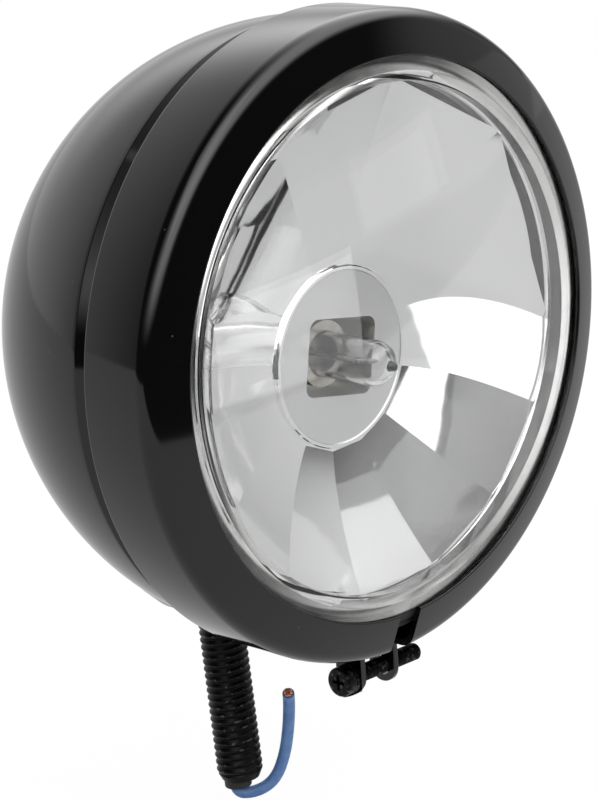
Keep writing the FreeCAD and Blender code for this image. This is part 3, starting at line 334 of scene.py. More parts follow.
def bucket_section():
    """The closed section of the bucket: rim, groove and bowl, then back along the inner wall."""
    inside = BUCKET_R - BUCKET_SHEET
    under = GROOVE_FLOOR_R - SEAM_DEPTH - BUCKET_SHEET
    front = RIM_FRONT + RIM_BEND
    section = arc((front, BUCKET_R - RIM_BEND), RIM_BEND, 180, 90, 8)
    section.insert(0, Vector((RIM_FRONT, RIM_OPENING_R)))
    groove = round_corners([
        (GROOVE[0] - 3, BUCKET_R, 0),
        (GROOVE[0], BUCKET_R, 0.35),
        (GROOVE[1], GROOVE_FLOOR_R, 0.3),
        (RING_WIDTH, GROOVE_FLOOR_R, 0.3),
        (GROOVE[2], GROOVE_FLOOR_R - SEAM_DEPTH, 0.4),
        (GROOVE[3], bowl_radius(GROOVE[3]), 0.4),
        (GROOVE[3] + 1, bowl_radius(GROOVE[3] + 1), 0),
    ])
    section += groove[:-1]
    bowl_angle = math.degrees(math.acos((GROOVE[3] - EQUATOR) / BOWL_R))
    section += arc((EQUATOR, 0), BOWL_R, bowl_angle - 1, 0, 64)
    section += arc((EQUATOR, 0), BOWL_R - BUCKET_SHEET, 0, bowl_angle, 40)
    section += [Vector((GROOVE[2], under)), Vector((GROOVE[1], under)), Vector((GROOVE[0], inside))]
    section += arc((front, BUCKET_R - RIM_BEND), RIM_BEND - BUCKET_SHEET, 90, 180, 6)
    section.append(Vector((RIM_FRONT + BUCKET_SHEET, RIM_OPENING_R)))
    return section


bucket = spin_on_axis("black_bucket", bucket_section(), steps=192)
bpy.ops.object.select_all(action="DESELECT")
bpy.ops.mesh.primitive_cylinder_add(vertices=64, radius=STUD_HOLE_R * MM, depth=DRILL_LENGTH,
                                    location=(0, 0, DRILL_HEIGHT))
combine(bucket, bpy.context.active_object)
compare(bucket, "bucket")

# %% [markdown]
# The retaining ring is a split band that clamps the lens to the bucket. It slopes in over the lens,
# rolls over a shoulder and ends in a lip behind. The band could be bent from a strip, but spinning
# its section keeps it truly round. The gap is then cut out at the bottom.

# %% Retaining ring
OPENING_R = 55.0
SLOPE_R = 61.4
RING_R = 63.85
RING_REAR_R = 63.3
LIP_R = 61.2
SLOPE_DEPTH = 2.6
SHOULDER = 6.2
RING_SHEET = 1.2
RING_GAP = 5.9
GAP_CUT = (60, 30)
RING_TURN = math.radians(4.0)
EAR_SETBACK = 12.8
EAR_WIDTH = 6.8
EAR_INSIDE = 4.1
EAR_SHEET = 1.3
SCREW_RADIUS = 69.45
SCREW_HOLE_R = 1.95


def curve_between(start, along, end, count):
    """A rounded shoulder: it leaves start along a direction and reaches end."""
    control = start + along
    points = []
    for share in range(1, count):
        t = share / count
        points.append(start * (1 - t) ** 2 + control * 2 * t * (1 - t) + end * t ** 2)
    return points


def ring_section():
    """The closed section of the ring: sloping front, shoulder, rear lip, then back inside."""
    slope = Vector((SLOPE_DEPTH, SLOPE_R - OPENING_R)).normalized()
    thick = RING_SHEET / slope.y
    outer_start = Vector((SLOPE_DEPTH, SLOPE_R))
    outer_end = Vector((SHOULDER, RING_R))
    reach = (RING_R - SLOPE_R) / slope.y
    section = round_corners([
        (thick, OPENING_R, 0.3),
        (0, OPENING_R, 0.35),
        (SLOPE_DEPTH, SLOPE_R, 0),
    ])[:-1]
    section.append(outer_start)
    section += curve_between(outer_start, slope * reach, outer_end, 12)
    section.append(outer_end)
    tail = round_corners([
        (SHOULDER, RING_R, 0),
        (RING_WIDTH, RING_REAR_R, 0.7),
        (RING_WIDTH, LIP_R, 0.3),
        (RING_WIDTH - RING_SHEET, LIP_R, 0.3),
        (RING_WIDTH - RING_SHEET, RING_REAR_R - RING_SHEET, 0.2),
        (SHOULDER, RING_R - RING_SHEET, 0),
    ])
    section += tail[1:]
    inner_end = Vector((SLOPE_DEPTH + thick, SLOPE_R))
    inner_start = Vector((SHOULDER, RING_R - RING_SHEET))
    section += curve_between(inner_start, Vector((-1.0, 0)), inner_end, 6)
    section.append(inner_end)
    return section


ring = spin_on_axis("black_clamp_ring", ring_section(), steps=224)
combine(ring, add_block(lamp_point(0, RING_WIDTH / 2, -RING_R), (RING_GAP, *GAP_CUT)))
print("ring with its gap:", len(ring.data.vertices), "vertices")

# %% [markdown]
# An ear is a strip of the ring bent straight out. A block is given a round end by bevelling its
# lowest edges with nearly the half width, and a second bevel softens every rim. Both ears are joined
# to the ring, and one drill makes their holes. Edit mode still selects by points when the first ear
# is made, so its bevel takes all four lowest edges, and its end flares out behind the screw head.
# The second ear is made with edges as the selection mode, and its end stays flat.

# %% Ears of the ring
ROUND_END = 0.995
EAR_SOFTNESS = 0.22
EAR_DRILL = 0.02


def select_edges(piece, test):
    """In edit mode, select the edges whose two end points pass a test."""
    bpy.ops.mesh.select_all(action="DESELECT")
    bpy.ops.object.mode_set(mode="OBJECT")
    points = piece.data.vertices
    for edge in piece.data.edges:
        ends = [points[i].co for i in edge.vertices]
        edge.select = test(*ends)
    bpy.ops.object.mode_set(mode="EDIT")
    bpy.ops.mesh.select_mode(type="EDGE")


def make_ear(side):
    """One ear beside the gap, with its round end down."""
    root = -math.sqrt((RING_REAR_R - RING_SHEET / 2) ** 2 - EAR_INSIDE ** 2)
    foot = -SCREW_RADIUS - EAR_WIDTH / 2
    across = side * (EAR_INSIDE + EAR_SHEET / 2)
    middle = lamp_point(across, EAR_SETBACK, (root + foot) / 2)
    ear = settle(add_block(middle, (EAR_SHEET, EAR_WIDTH, root - foot)))
    bpy.ops.object.mode_set(mode="EDIT")
    low = lamp_point(0, 0, foot).z + MERGE
    select_edges(ear, lambda a, b: a.z < low and b.z < low and abs(a.x - b.x) > MERGE)
    bpy.ops.mesh.bevel(offset=EAR_WIDTH / 2 * ROUND_END * MM, segments=16, affect="EDGES")
    close_mesh(ear)
    soften = ear.modifiers.new("soften", "BEVEL")
    soften.width = EAR_SOFTNESS * MM
    soften.segments = 3
    soften.limit_method = "ANGLE"
    bpy.ops.object.modifier_apply(modifier="soften")
    return ear


for side in (-1, 1):
    combine(ring, make_ear(side), "UNION")
bpy.ops.object.select_all(action="DESELECT")
bpy.ops.mesh.primitive_cylinder_add(vertices=40, radius=SCREW_HOLE_R * MM, depth=EAR_DRILL,
                                    location=lamp_point(0, EAR_SETBACK, -SCREW_RADIUS),
                                    rotation=(0, math.pi / 2, 0))
combine(ring, bpy.context.active_object)


def turn_on_axis(piece, angle):
    """Turn a finished mesh about the lamp's axis, clockwise as seen from the front."""
    pick_only(piece)
    bpy.ops.object.mode_set(mode="EDIT")
    bpy.ops.mesh.select_all(action="SELECT")
    bpy.ops.transform.rotate(value=-angle, orient_axis="Y", orient_type="GLOBAL",
                             center_override=AXIS_CENTRE)
    bpy.ops.object.mode_set(mode="OBJECT")


turn_on_axis(ring, RING_TURN)
compare(ring, "retaining_ring")

# %% [markdown]
# Screw threads are true helices. One tooth of the thread is drawn as an outline and swept by the
# Screw modifier, one turn for each pitch. The sweep is longer than the thread and is cut square at
# both ends with bisect, which fills the cut, so the result is a closed solid.

# %% A threaded rod
CREST_SHARE = 1 / 8
TURNS_BEFORE = 1.5
TURNS_SPARE = 3


def thread_rod(name, radius, tooth, pitch, low, high, steps=40):
    """A threaded rod along Z from low to high, in millimetres, standing at the origin."""
    crest = pitch * CREST_SHARE
    flank = (pitch - 2 * crest) / 2
    start = low - TURNS_BEFORE * pitch
    marks = ((0, radius - tooth), (crest, radius - tooth), (crest + flank, radius),
             (2 * crest + flank, radius), (pitch, radius - tooth))
    rod = draw_outline(name, [Vector((r, 0, start + z)) * MM for z, r in marks])
    bpy.ops.object.mode_set(mode="OBJECT")
    sweep = rod.modifiers.new("sweep", "SCREW")
    sweep.axis = "Z"
    sweep.angle = math.tau
    sweep.screw_offset = pitch * MM
    sweep.iterations = math.ceil((high - low) / pitch) + TURNS_SPARE
    sweep.steps = steps
    sweep.render_steps = steps
    sweep.use_merge_vertices = True
    sweep.merge_threshold = MERGE
    pick_only(rod)
    bpy.ops.object.modifier_apply(modifier="sweep")
    bpy.ops.object.mode_set(mode="EDIT")
    for height, way in ((high, 1), (low, -1)):
        bpy.ops.mesh.select_all(action="SELECT")
        bpy.ops.mesh.remove_doubles(threshold=MERGE)
        bpy.ops.mesh.bisect(plane_co=(0, 0, height * MM), plane_no=(0, 0, way),
                            use_fill=True, clear_outer=True)
    return close_mesh(rod)


# %% [markdown]
# The mounting stud is hollow, so the wire can run down through it. Its lower thread is chamfered at
# the end, a plain shank passes through the bowl, and a short thread above takes the nut. The thread
# is made long, trimmed by a turned envelope that has the chamfer, and then bored.

# %% Mounting stud
STUD_R = 4.7625
STUD_PITCH = 1.5875
STUD_TOOTH = 0.36
STUD_END = -41.8
STUD_CHAMFER_R = 3.9125
STUD_CHAMFER = -39.6
STUD_BORE_R = 3.6
SHANK_R = 5.0
SHANK_TOP = 24.167
STUD_TOP = 36.467
STUD_EASE = 0.3
THREAD_OVERLAP = 0.4
ENVELOPE_TOP = 2
BORE_REACH = 60


def spin_upright(name, outline, steps=72, centre=(0, 0)):
    """A piece turned about an upright axis from a closed (radius, height) outline."""
    points = [Vector((centre[0] + r, centre[1], z)) * MM for r, z in outline]
    points.append(points[0])
    middle = Vector((centre[0], centre[1], 0)) * MM
    return spin_outline(name, points, middle, (0, 0, 1), steps)


stud = thread_rod("black_stud", STUD_R, STUD_TOOTH, STUD_PITCH, STUD_END, THREAD_OVERLAP)
envelope = spin_upright("envelope", (
    (0, STUD_END),
    (STUD_CHAMFER_R, STUD_END),
    (STUD_R + STUD_EASE, STUD_CHAMFER + STUD_EASE),
    (STUD_R + STUD_EASE, ENVELOPE_TOP),
    (0, ENVELOPE_TOP),
))
combine(stud, envelope, "INTERSECT")
shank = spin_upright("shank", (
    (0, 0),
    (SHANK_R - STUD_EASE, 0),
    (SHANK_R, STUD_EASE),
    (SHANK_R, SHANK_TOP - STUD_EASE),
    (SHANK_R - STUD_EASE, SHANK_TOP),
    (0, SHANK_TOP),
))
combine(stud, shank, "UNION")
nut_thread = thread_rod("nut_thread", STUD_R, STUD_TOOTH, STUD_PITCH, SHANK_TOP - THREAD_OVERLAP, STUD_TOP)
combine(stud, nut_thread, "UNION")
bore = spin_upright("bore", (
    (0, -BORE_REACH),
    (STUD_BORE_R, -BORE_REACH),
    (STUD_BORE_R, BORE_REACH),
    (0, BORE_REACH),
), steps=48)
combine(stud, bore)
compare(stud, "mounting_stud")

# %% [markdown]
# The saddle is a short post on a wide foot that fills the wedge between the round bowl and the flat
# seat. Its foot is undercut towards the seat. It is turned with soft edges, and a ball the size of
# the bowl is taken out of its top.

# %% Saddle
SADDLE_R = 10.0
SADDLE_BORE_R = 5.15
SADDLE_TALL = 24.0
FOOT_R = 16.2
FOOT_HEIGHT = 4.0
FOOT_TAPER = 6.0
FOOT_SLANT = 3.7
SEAT_GAP = 0.1

saddle_outline = round_corners([
    (SADDLE_BORE_R, 0, 0.3),
    (FOOT_R - FOOT_SLANT, 0, 0.8),
    (FOOT_R, FOOT_HEIGHT, 0.8),
    (SADDLE_R, FOOT_HEIGHT + FOOT_TAPER, 1.0),
    (SADDLE_R, SADDLE_TALL, 0),
    (SADDLE_BORE_R, SADDLE_TALL, 0),
])
saddle = spin_upright("black_saddle", saddle_outline, steps=96)
half_circle = arc((EQUATOR, 0), BOWL_R + SEAT_GAP, 180, 0, 120)
bowl_ball = spin_on_axis("bowl_ball", half_circle, steps=192, closed=False)
combine(saddle, bowl_ball)
compare(saddle, "stud_saddle")

# %% [markdown]
# The sleeve is a thin plastic tube that keeps the wire off the stud's edge. It lies against one side
# of the bore, and its cut end is a little rounded.

# %% Sleeve
SLEEVE_R = 2.8
SLEEVE_INSIDE_R = 2.4
SLEEVE_SHIFT = 0.75
SLEEVE_LOW = -43.7
SLEEVE_HIGH = -13.7

sleeve_middle = (-SLEEVE_SHIFT * math.cos(VIEW_TURN), -SLEEVE_SHIFT * math.sin(VIEW_TURN))
sleeve_outline = round_corners([
    (SLEEVE_INSIDE_R, SLEEVE_LOW, 0.12),
    (SLEEVE_R, SLEEVE_LOW, 0.18),
    (SLEEVE_R, SLEEVE_HIGH, 0.1),
    (SLEEVE_INSIDE_R, SLEEVE_HIGH, 0.1),
])
sleeve = spin_upright("black_wire_sleeve", sleeve_outline, steps=64, centre=sleeve_middle)
compare(sleeve, "wire_sleeve")

# %% [markdown]
# The bare end of the wire is a bundle of seven copper strands, one in the middle and six round it. A
# strand is a small disc extruded along the wire in short steps, each turned a little about the
# bundle's middle, so the strands lie in a slow twist. One outer strand is made and copied.

# %% Copper strands
STRAND_R = 0.3
STRAND_LENGTH = 0.8
STRAND_STEPS = 6
STRAND_TWIST = math.radians(10)
STRAND_SMOOTH = 60
OUTER_STRANDS = 6

wire_end = wire_point(*WIRE_ROUTE[-1])
wire_run = (wire_end - wire_point(*WIRE_ROUTE[-2])).normalized()


def make_strand(name, offset):
    """One strand that starts at the origin and runs up Z, at an offset from the bundle's middle."""
    bpy.ops.object.select_all(action="DESELECT")
    bpy.ops.mesh.primitive_circle_add(vertices=12, radius=STRAND_R * MM, fill_type="NGON",
                                      location=(offset * MM, 0, 0))
    strand = bpy.context.active_object
    strand.name = name
    settle(strand)
    bpy.ops.object.mode_set(mode="EDIT")
    bpy.ops.mesh.select_all(action="SELECT")
    rise = Vector((0, 0, STRAND_LENGTH / STRAND_STEPS * MM))
    for _ in range(STRAND_STEPS):
        bpy.ops.mesh.extrude_region_move(TRANSFORM_OT_translate={"value": rise})
        bpy.ops.transform.rotate(value=STRAND_TWIST, orient_axis="Z", orient_type="GLOBAL",
                                 center_override=(0, 0, 0))
    return close_mesh(strand, STRAND_SMOOTH)


strands = make_strand("copper_strands", 0)
outer_strand = make_strand("strand", 2 * STRAND_R)
bundle = [strands, outer_strand]
for turn in range(1, OUTER_STRANDS):
    strand = copy_of(outer_strand, "strand")
    strand.rotation_euler = (0, 0, turn * math.tau / OUTER_STRANDS)
    bundle.append(settle(strand))
pick_only(strands)
for strand in bundle:
    strand.select_set(True)
bpy.ops.object.join()
along_wire = wire_run.to_track_quat("Z", "Y").to_matrix().to_4x4()
strands.matrix_world = Matrix.Translation(wire_end) @ along_wire
settle(strands)
compare(strands, "wire_strands")

# %% [markdown]
# The clamp screw pulls the two ears together. Its thread is a finer rod of the same kind, the round
# head is turned with a soft rim, and a cross of two tapered bars is taken out of the head.

# %% Clamp screw
SCREW_D = 3.5
SCREW_PITCH = 0.6
SCREW_TOOTH = 0.3
SCREW_HEAD_R = 3.0
SCREW_HEAD = 2.4
SCREW_TAIL = 8.9
SCREW_TIP = 0.58
WASHER = 0.8
RECESS_LENGTH = 3.8
RECESS_WIDTH = 0.9
RECESS_DEPTH = 1.3
RECESS_TAPER = 0.6
HEAD_OVERLAP = 0.5
ENVELOPE_PAST = 2
TIP_SLOPE = 1.55

head_seat = -(EAR_INSIDE + EAR_SHEET) - WASHER
head_face = head_seat - SCREW_HEAD
screw_end = EAR_INSIDE + EAR_SHEET + SCREW_TAIL


def lay_on_screw(piece):
    """Lay a piece that stands on Z along the screw's axis, which turns with the ring."""
    piece.matrix_world = (Matrix.Translation(AXIS_CENTRE) @ Matrix.Rotation(RING_TURN, 4, "Y")
                          @ Matrix.Translation(Vector((0, EAR_SETBACK, -SCREW_RADIUS)) * MM)
                          @ Matrix.Rotation(math.pi / 2, 4, "Y"))
    return settle(piece)


screw = thread_rod("black_clamp_screw", SCREW_D / 2, SCREW_TOOTH, SCREW_PITCH,
                   head_seat - HEAD_OVERLAP, screw_end, 32)
tip_envelope = spin_upright("tip_envelope", (
    (0, head_seat - ENVELOPE_PAST),
    (SCREW_D, head_seat - ENVELOPE_PAST),
    (SCREW_D, screw_end - SCREW_TIP - TIP_SLOPE),
    (SCREW_D / 2 - SCREW_TIP, screw_end),
    (0, screw_end),
), steps=48)
combine(screw, tip_envelope, "INTERSECT")
head_outline = round_corners([
    (0, head_face, 0),
    (SCREW_HEAD_R, head_face, 0.55),
    (SCREW_HEAD_R, head_seat, 0.15),
    (0, head_seat, 0),
])
head = spin_upright("head", head_outline, steps=64)
face_middle = (0, 0, head_face * MM)
bar = add_block(face_middle, (RECESS_LENGTH, RECESS_WIDTH, 2 * RECESS_DEPTH))
bpy.ops.object.mode_set(mode="EDIT")
select_edges(bar, lambda a, b: a.z > 0 and b.z > 0)
bpy.ops.transform.resize(value=(RECESS_TAPER, RECESS_TAPER, 1), center_override=face_middle)
bpy.ops.object.mode_set(mode="OBJECT")
cross_bar = copy_of(bar, "cross_bar")
cross_bar.rotation_euler = (0, 0, math.pi / 2)
settle(cross_bar)
combine(head, bar)
combine(head, cross_bar)
combine(screw, head, "UNION")
lay_on_screw(screw)
compare(screw, "clamp_screw")

# %% [markdown]
# The spring washer under the screw head is a flat ring with one slanted cut. The screw presses it
# flat here, so it is simply turned, and a thin slanted block makes the cut.

# %% Spring washer
WASHER_R = 3.1
WASHER_SPLIT = 0.7
WASHER_SLANT = math.radians(20)
WASHER_SOFTNESS = 0.12

washer_outline = round_corners([
    (SCREW_HOLE_R, head_seat, WASHER_SOFTNESS),
    (WASHER_R, head_seat, WASHER_SOFTNESS),
    (WASHER_R, head_seat + WASHER, WASHER_SOFTNESS),
    (SCREW_HOLE_R, head_seat + WASHER, WASHER_SOFTNESS),
])
washer = spin_upright("black_spring_washer", washer_outline, steps=64)
split_middle = (0, WASHER_R * MM, (head_seat + WASHER / 2) * MM)
split = add_block(split_middle, (WASHER_SPLIT, 2 * WASHER_R, 4 * WASHER), (0, WASHER_SLANT, 0))
combine(washer, split)
lay_on_screw(washer)
compare(washer, "clamp_lock_washer")

# %% [markdown]
# The lens is pressed glass: a shallow dome, a border band that the ring holds, and a short skirt
# behind. Both sides are in the section, so light bends through it as through the real one.

# %% Lens
LENS_R = 57.15
DOME_R = 52.3
DOME_STEP = 0.6
SKIRT_R = 49.6
DOME_FOOT = 0.306
DOME_TOP = -7.694
GLASS = 3.2
LENS_SEAT = 2.277
LENS_BACK = 5.377


def dome_arc(top, edge_depth, edge_radius, count):
    """Points of a dome from the axis to its edge."""
    rise = edge_depth - top
    radius = (edge_radius ** 2 + rise ** 2) / (2 * rise)
    sweep = math.degrees(math.asin(edge_radius / radius))
    return arc((top + radius, 0), radius, 180, 180 - sweep, count)


def lens_section():
    """The closed section of the lens: dome, border and skirt, then the inner dome back."""
    crown = DOME_FOOT - DOME_STEP
    outer = dome_arc(DOME_TOP, crown, DOME_R - DOME_STEP, 48)
    rim = round_corners([
        (crown, DOME_R - DOME_STEP, 0),
        (DOME_FOOT, DOME_R, 0.15),
        (LENS_SEAT, LENS_R, 0.4),
        (LENS_BACK, LENS_R, 0.3),
        (LENS_BACK, SKIRT_R, 0.4),
        (crown + GLASS, SKIRT_R, 0),
    ])
    inner = dome_arc(DOME_TOP + GLASS, crown + GLASS, SKIRT_R, 48)
    return outer + rim[1:-1] + list(reversed(inner))


lens = spin_on_axis("clear_lens", lens_section(), steps=192)
compare(lens, "lens")

# %% [markdown]
# The bulb's capsule is a hollow glass tube with a round end and a small sealed tip. It is spun from
# a closed section about the bulb's own axis, which lies a little below the lamp's.

# %% Bulb capsule
UNIT_TURN = math.radians(14.7)
BULB_DROP = 4.9
CAPSULE_R = 4.5
CAPSULE_GLASS = 0.8
CAPSULE_FOOT = 24.177
CAPSULE_CROWN = 1.677
TIP_R = 0.9
TIP_END = 0.077
TIP_NECK = 0.35
TIP_SPREAD = 14

bulb_across = -BULB_DROP * math.sin(UNIT_TURN)
bulb_height = -BULB_DROP * math.cos(UNIT_TURN)
BULB_CENTRE = lamp_point(bulb_across, 0, bulb_height)


def capsule_section():
    """The closed section of the capsule: tube, round end and tip, then the inner wall back."""
    shoulder = CAPSULE_CROWN + CAPSULE_R
    outer = arc((shoulder, 0), CAPSULE_R, 90, 180 - TIP_SPREAD, 14)
    tip = [Vector((TIP_END + TIP_R + TIP_NECK, TIP_R))]
    tip += arc((TIP_END + TIP_R, 0), TIP_R, 90, 180, 6)
    inner = arc((shoulder, 0), CAPSULE_R - CAPSULE_GLASS, 180, 90, 14)
    return ([Vector((CAPSULE_FOOT, CAPSULE_R))] + outer + tip + inner
            + [Vector((CAPSULE_FOOT, CAPSULE_R - CAPSULE_GLASS))])


def spin_on_bulb(name, outline, steps=72):
    """A piece turned about the bulb's axis from a closed (depth, radius) outline."""
    points = [lamp_point(bulb_across, depth, bulb_height + radius) for depth, radius in outline]
    points.append(points[0])
    return spin_outline(name, points, BULB_CENTRE, LAMP_AXIS, steps)


capsule = spin_on_bulb("bulb_capsule", capsule_section())
compare(capsule, "bulb_envelope")

# %% [markdown]
# The filament is a tight coil of tungsten wire across the bulb. A small circle is swept into a helix
# by the Screw modifier and laid across the capsule.

# %% Filament
FILAMENT_DEPTH = 8.177
FILAMENT_LENGTH = 5.0
COIL_R = 0.43
COIL_WIRE_R = 0.11
COIL_TURNS = 15
COIL_STEPS = 20
COIL_SMOOTH = 60

bpy.ops.object.select_all(action="DESELECT")
bpy.ops.mesh.primitive_circle_add(vertices=8, radius=COIL_WIRE_R * MM, fill_type="NGON",
                                  location=(COIL_R * MM, 0, 0), rotation=(math.pi / 2, 0, 0))
filament = bpy.context.active_object
filament.name = "filament_coil"
settle(filament)
coil = filament.modifiers.new("coil", "SCREW")
coil.axis = "Z"
coil.screw_offset = (FILAMENT_LENGTH - 2 * COIL_WIRE_R) / COIL_TURNS * MM
coil.iterations = COIL_TURNS
coil.steps = COIL_STEPS
coil.render_steps = COIL_STEPS
bpy.ops.object.modifier_apply(modifier="coil")
bpy.ops.object.mode_set(mode="EDIT")
close_mesh(filament, COIL_SMOOTH)
filament.matrix_world = (Matrix.Translation(lamp_point(bulb_across, FILAMENT_DEPTH, bulb_height))
                         @ Matrix.Rotation(UNIT_TURN, 4, "Y") @ Matrix.Rotation(math.pi / 2, 4, "Y")
                         @ Matrix.Translation(Vector((0, 0, COIL_WIRE_R - FILAMENT_LENGTH / 2)) * MM))
settle(filament)
compare(filament, "bulb_filament")

# %% [markdown]
# The reflector is the lamp's show piece: twelve strips of mirror, each curved from the disc to the
# mouth and meeting its neighbours in crisp edges. Twelve-cornered loops are drawn at several depths
# and bridged into a bowl. The bowl is taken out of a larger one with a flange, and the disc and the
# bulb's well are joined on and cut.

# %% Reflector shell
FACETS = ((90, 90), (119, 129), (153, 179), (189, 198), (220, 222), (245, 246),
          (270, 270), (295, 294), (320, 318), (351, 342), (387, 361), (421, 411))
MOUTH_R, TIER_R, FLOOR_R = 50.2, 33.0, 18.7
MOUTH, TIER, FLOOR = 5.977, 12.177, 15.177
REFLECTOR_WALL = 2.0
FLANGE_R = 56.6
FLANGE_BACK = 7.577
MOUTH_WALL = 0.8
LOOPS = 12
PAST_MOUTH = 1.06
FACET_SMOOTH = 3


def through(floor, tier, mouth, share):
    """A smooth value that takes three given ones at the floor, half way and the mouth."""
    return (floor * (1 - share) * (1 - 2 * share) + tier * 4 * share * (1 - share)
            + mouth * share * (2 * share - 1))


def facet_loop(share, grow, depths):
    """The twelve corners at a share of the way from the floor to the mouth."""
    radius = through(FLOOR_R, TIER_R, MOUTH_R, share) + grow
    depth = through(*depths, share)
    corners = []
    for floor_angle, mouth_angle in FACETS:
        angle = math.radians(floor_angle + (mouth_angle - floor_angle) * share)
        drop = BULB_DROP * (1 - share)
        corner = Vector((radius * math.cos(angle), depth, radius * math.sin(angle) - drop))
        corners.append(lamp_point(*(Matrix.Rotation(UNIT_TURN, 3, "Y") @ corner)))
    return corners


def stack_loops(name, loops):
    """A closed solid through a stack of loops, bridged and capped."""
    rings = []
    for corners in loops:
        rings.append(draw_outline(name, corners + corners[:1]))
        bpy.ops.mesh.remove_doubles(threshold=MERGE)
        bpy.ops.object.mode_set(mode="OBJECT")
    pick_only(rings[0])
    for ring_loop in rings:
        ring_loop.select_set(True)
    bpy.ops.object.join()
    bpy.ops.object.mode_set(mode="EDIT")
    bpy.ops.mesh.select_all(action="SELECT")
    bpy.ops.mesh.bridge_edge_loops()
    bpy.ops.mesh.select_all(action="SELECT")
    bpy.ops.mesh.fill_holes(sides=0)
    return close_mesh(rings[0], FACET_SMOOTH)


shares = [step / LOOPS for step in range(LOOPS + 1)]
back_depths = (FLOOR + REFLECTOR_WALL, TIER + REFLECTOR_WALL, MOUTH + MOUTH_WALL)
back_loops = [facet_loop(share, REFLECTOR_WALL, back_depths) for share in shares]
reflector = stack_loops("mirror_reflector", back_loops)
flange_outline = ((MOUTH, 0), (MOUTH, FLANGE_R), (FLANGE_BACK, FLANGE_R), (FLANGE_BACK, 0))
combine(reflector, spin_on_axis("flange", flange_outline), "UNION", FACET_SMOOTH)
front_depths = (FLOOR, TIER, MOUTH)
front_loops = [facet_loop(share, 0, front_depths) for share in shares + [PAST_MOUTH]]
hollow = stack_loops("hollow", front_loops)
combine(reflector, hollow, "DIFFERENCE", FACET_SMOOTH)
print("reflector bowl:", len(reflector.data.polygons), "faces")

# %% [markdown]
# The raised disc has a fine bead round its edge. Behind it a block holds the bulb's well, a square
# hole with round corners. The disc is turned about the bulb's axis and the block is joined on square
# to it. The well is cut last, through both.

# %% Disc and well
DISC_R = 18.0
DISC_FACE = 14.477
BEAD_HEIGHT = 0.2
BEAD_WIDTH = 1.0
WELL_BACK = 26.177
WELL_HALF = (9.3, 7.65)
WELL_CORNER = 2.2
WELL_PAST = 5
BLOCK_HALF = (12.0, 10.35)
DISC_ROOT = 1.0
BLOCK_ROOT = 0.5


def bulb_block(half_across, half_height, front, back):
    """A block square to the bulb, from one depth to another."""
    middle = lamp_point(bulb_across, (front + back) / 2, bulb_height)
    return add_block(middle, (2 * half_across, back - front, 2 * half_height), (0, UNIT_TURN, 0))


disc_outline = (
    (DISC_FACE + BEAD_HEIGHT, 0),
    (DISC_FACE + BEAD_HEIGHT, DISC_R - BEAD_WIDTH),
    (DISC_FACE, DISC_R - BEAD_WIDTH + BEAD_HEIGHT),
    (DISC_FACE, DISC_R - BEAD_HEIGHT),
    (DISC_FACE + BEAD_HEIGHT, DISC_R),
    (FLOOR + DISC_ROOT, DISC_R),
    (FLOOR + DISC_ROOT, 0),
)
combine(reflector, spin_on_bulb("disc", disc_outline, 96), "UNION", FACET_SMOOTH)
combine(reflector, bulb_block(*BLOCK_HALF, FLOOR + BLOCK_ROOT, WELL_BACK), "UNION", FACET_SMOOTH)
well = settle(bulb_block(*WELL_HALF, -WELL_PAST, WELL_BACK + WELL_PAST))
bpy.ops.object.mode_set(mode="EDIT")
select_edges(well, lambda a, b: abs(a.y - b.y) > MM)
bpy.ops.mesh.bevel(offset=WELL_CORNER * MM, segments=8, affect="EDGES")
close_mesh(well)
combine(reflector, well, "DIFFERENCE", FACET_SMOOTH)
print("reflector with its well:", len(reflector.data.polygons), "faces")

# %% [markdown]
# Four hooks behind the well keep the bulb's spring clip down. One hook is a bar that is cut across
# near its end, so that the face above the cut can be extruded inwards. It is made in the middle and
# copied to the four corners. The lower two copies are turned half round.

# %% Hooks
HOOK_PLACE = 8.98
HOOK_WIDTH = 3.0
HOOK_STEM = (8.2, 9.7)
HOOK_REACH = 6.7
HOOK_DEPTHS = (21.677, 28.677, 30.177)
FACES_INWARDS = -0.9


def make_hook():
    """One upper hook in the middle, with the bulb's axis as its origin."""
    root, under, cap = HOOK_DEPTHS
    middle = Vector((0, root + cap, sum(HOOK_STEM))) / 2 * MM
    hook = settle(add_block(middle, (HOOK_WIDTH, cap - root, HOOK_STEM[1] - HOOK_STEM[0])))
    bpy.ops.object.mode_set(mode="EDIT")
    bpy.ops.mesh.select_all(action="SELECT")
    bpy.ops.mesh.bisect(plane_co=(0, under * MM, 0), plane_no=(0, 1, 0))
    bpy.ops.mesh.select_all(action="DESELECT")
    bpy.ops.object.mode_set(mode="OBJECT")
    for face in hook.data.polygons:
        face.select = face.center.y > under * MM and face.normal.z < FACES_INWARDS
    bpy.ops.object.mode_set(mode="EDIT")
    bpy.ops.mesh.select_mode(type="FACE")
    inwards = (0, 0, (HOOK_REACH - HOOK_STEM[0]) * MM)
    bpy.ops.mesh.extrude_region_move(TRANSFORM_OT_translate={"value": inwards})
    return close_mesh(hook)


pattern_hook = make_hook()
bulb_place = Matrix.Translation(BULB_CENTRE) @ Matrix.Rotation(UNIT_TURN, 4, "Y")
for side in (-HOOK_PLACE, HOOK_PLACE):
    for half_turn in (math.pi, 0):
        hook = copy_of(pattern_hook, "hook")
        corner = Matrix.Translation((side * MM, 0, 0)) @ Matrix.Rotation(half_turn, 4, "Y")
        hook.matrix_world = bulb_place @ corner
        combine(reflector, settle(hook), "UNION", FACET_SMOOTH)
bpy.data.objects.remove(pattern_hook, do_unlink=True)
compare(reflector, "reflector")

# %% [markdown]
# Finishes are node trees. A small class wraps a node's socket, so that sums of patterns can be
# written as plain arithmetic, and one method adds any other node with its settings and inputs.

# %% A recipe for finishes


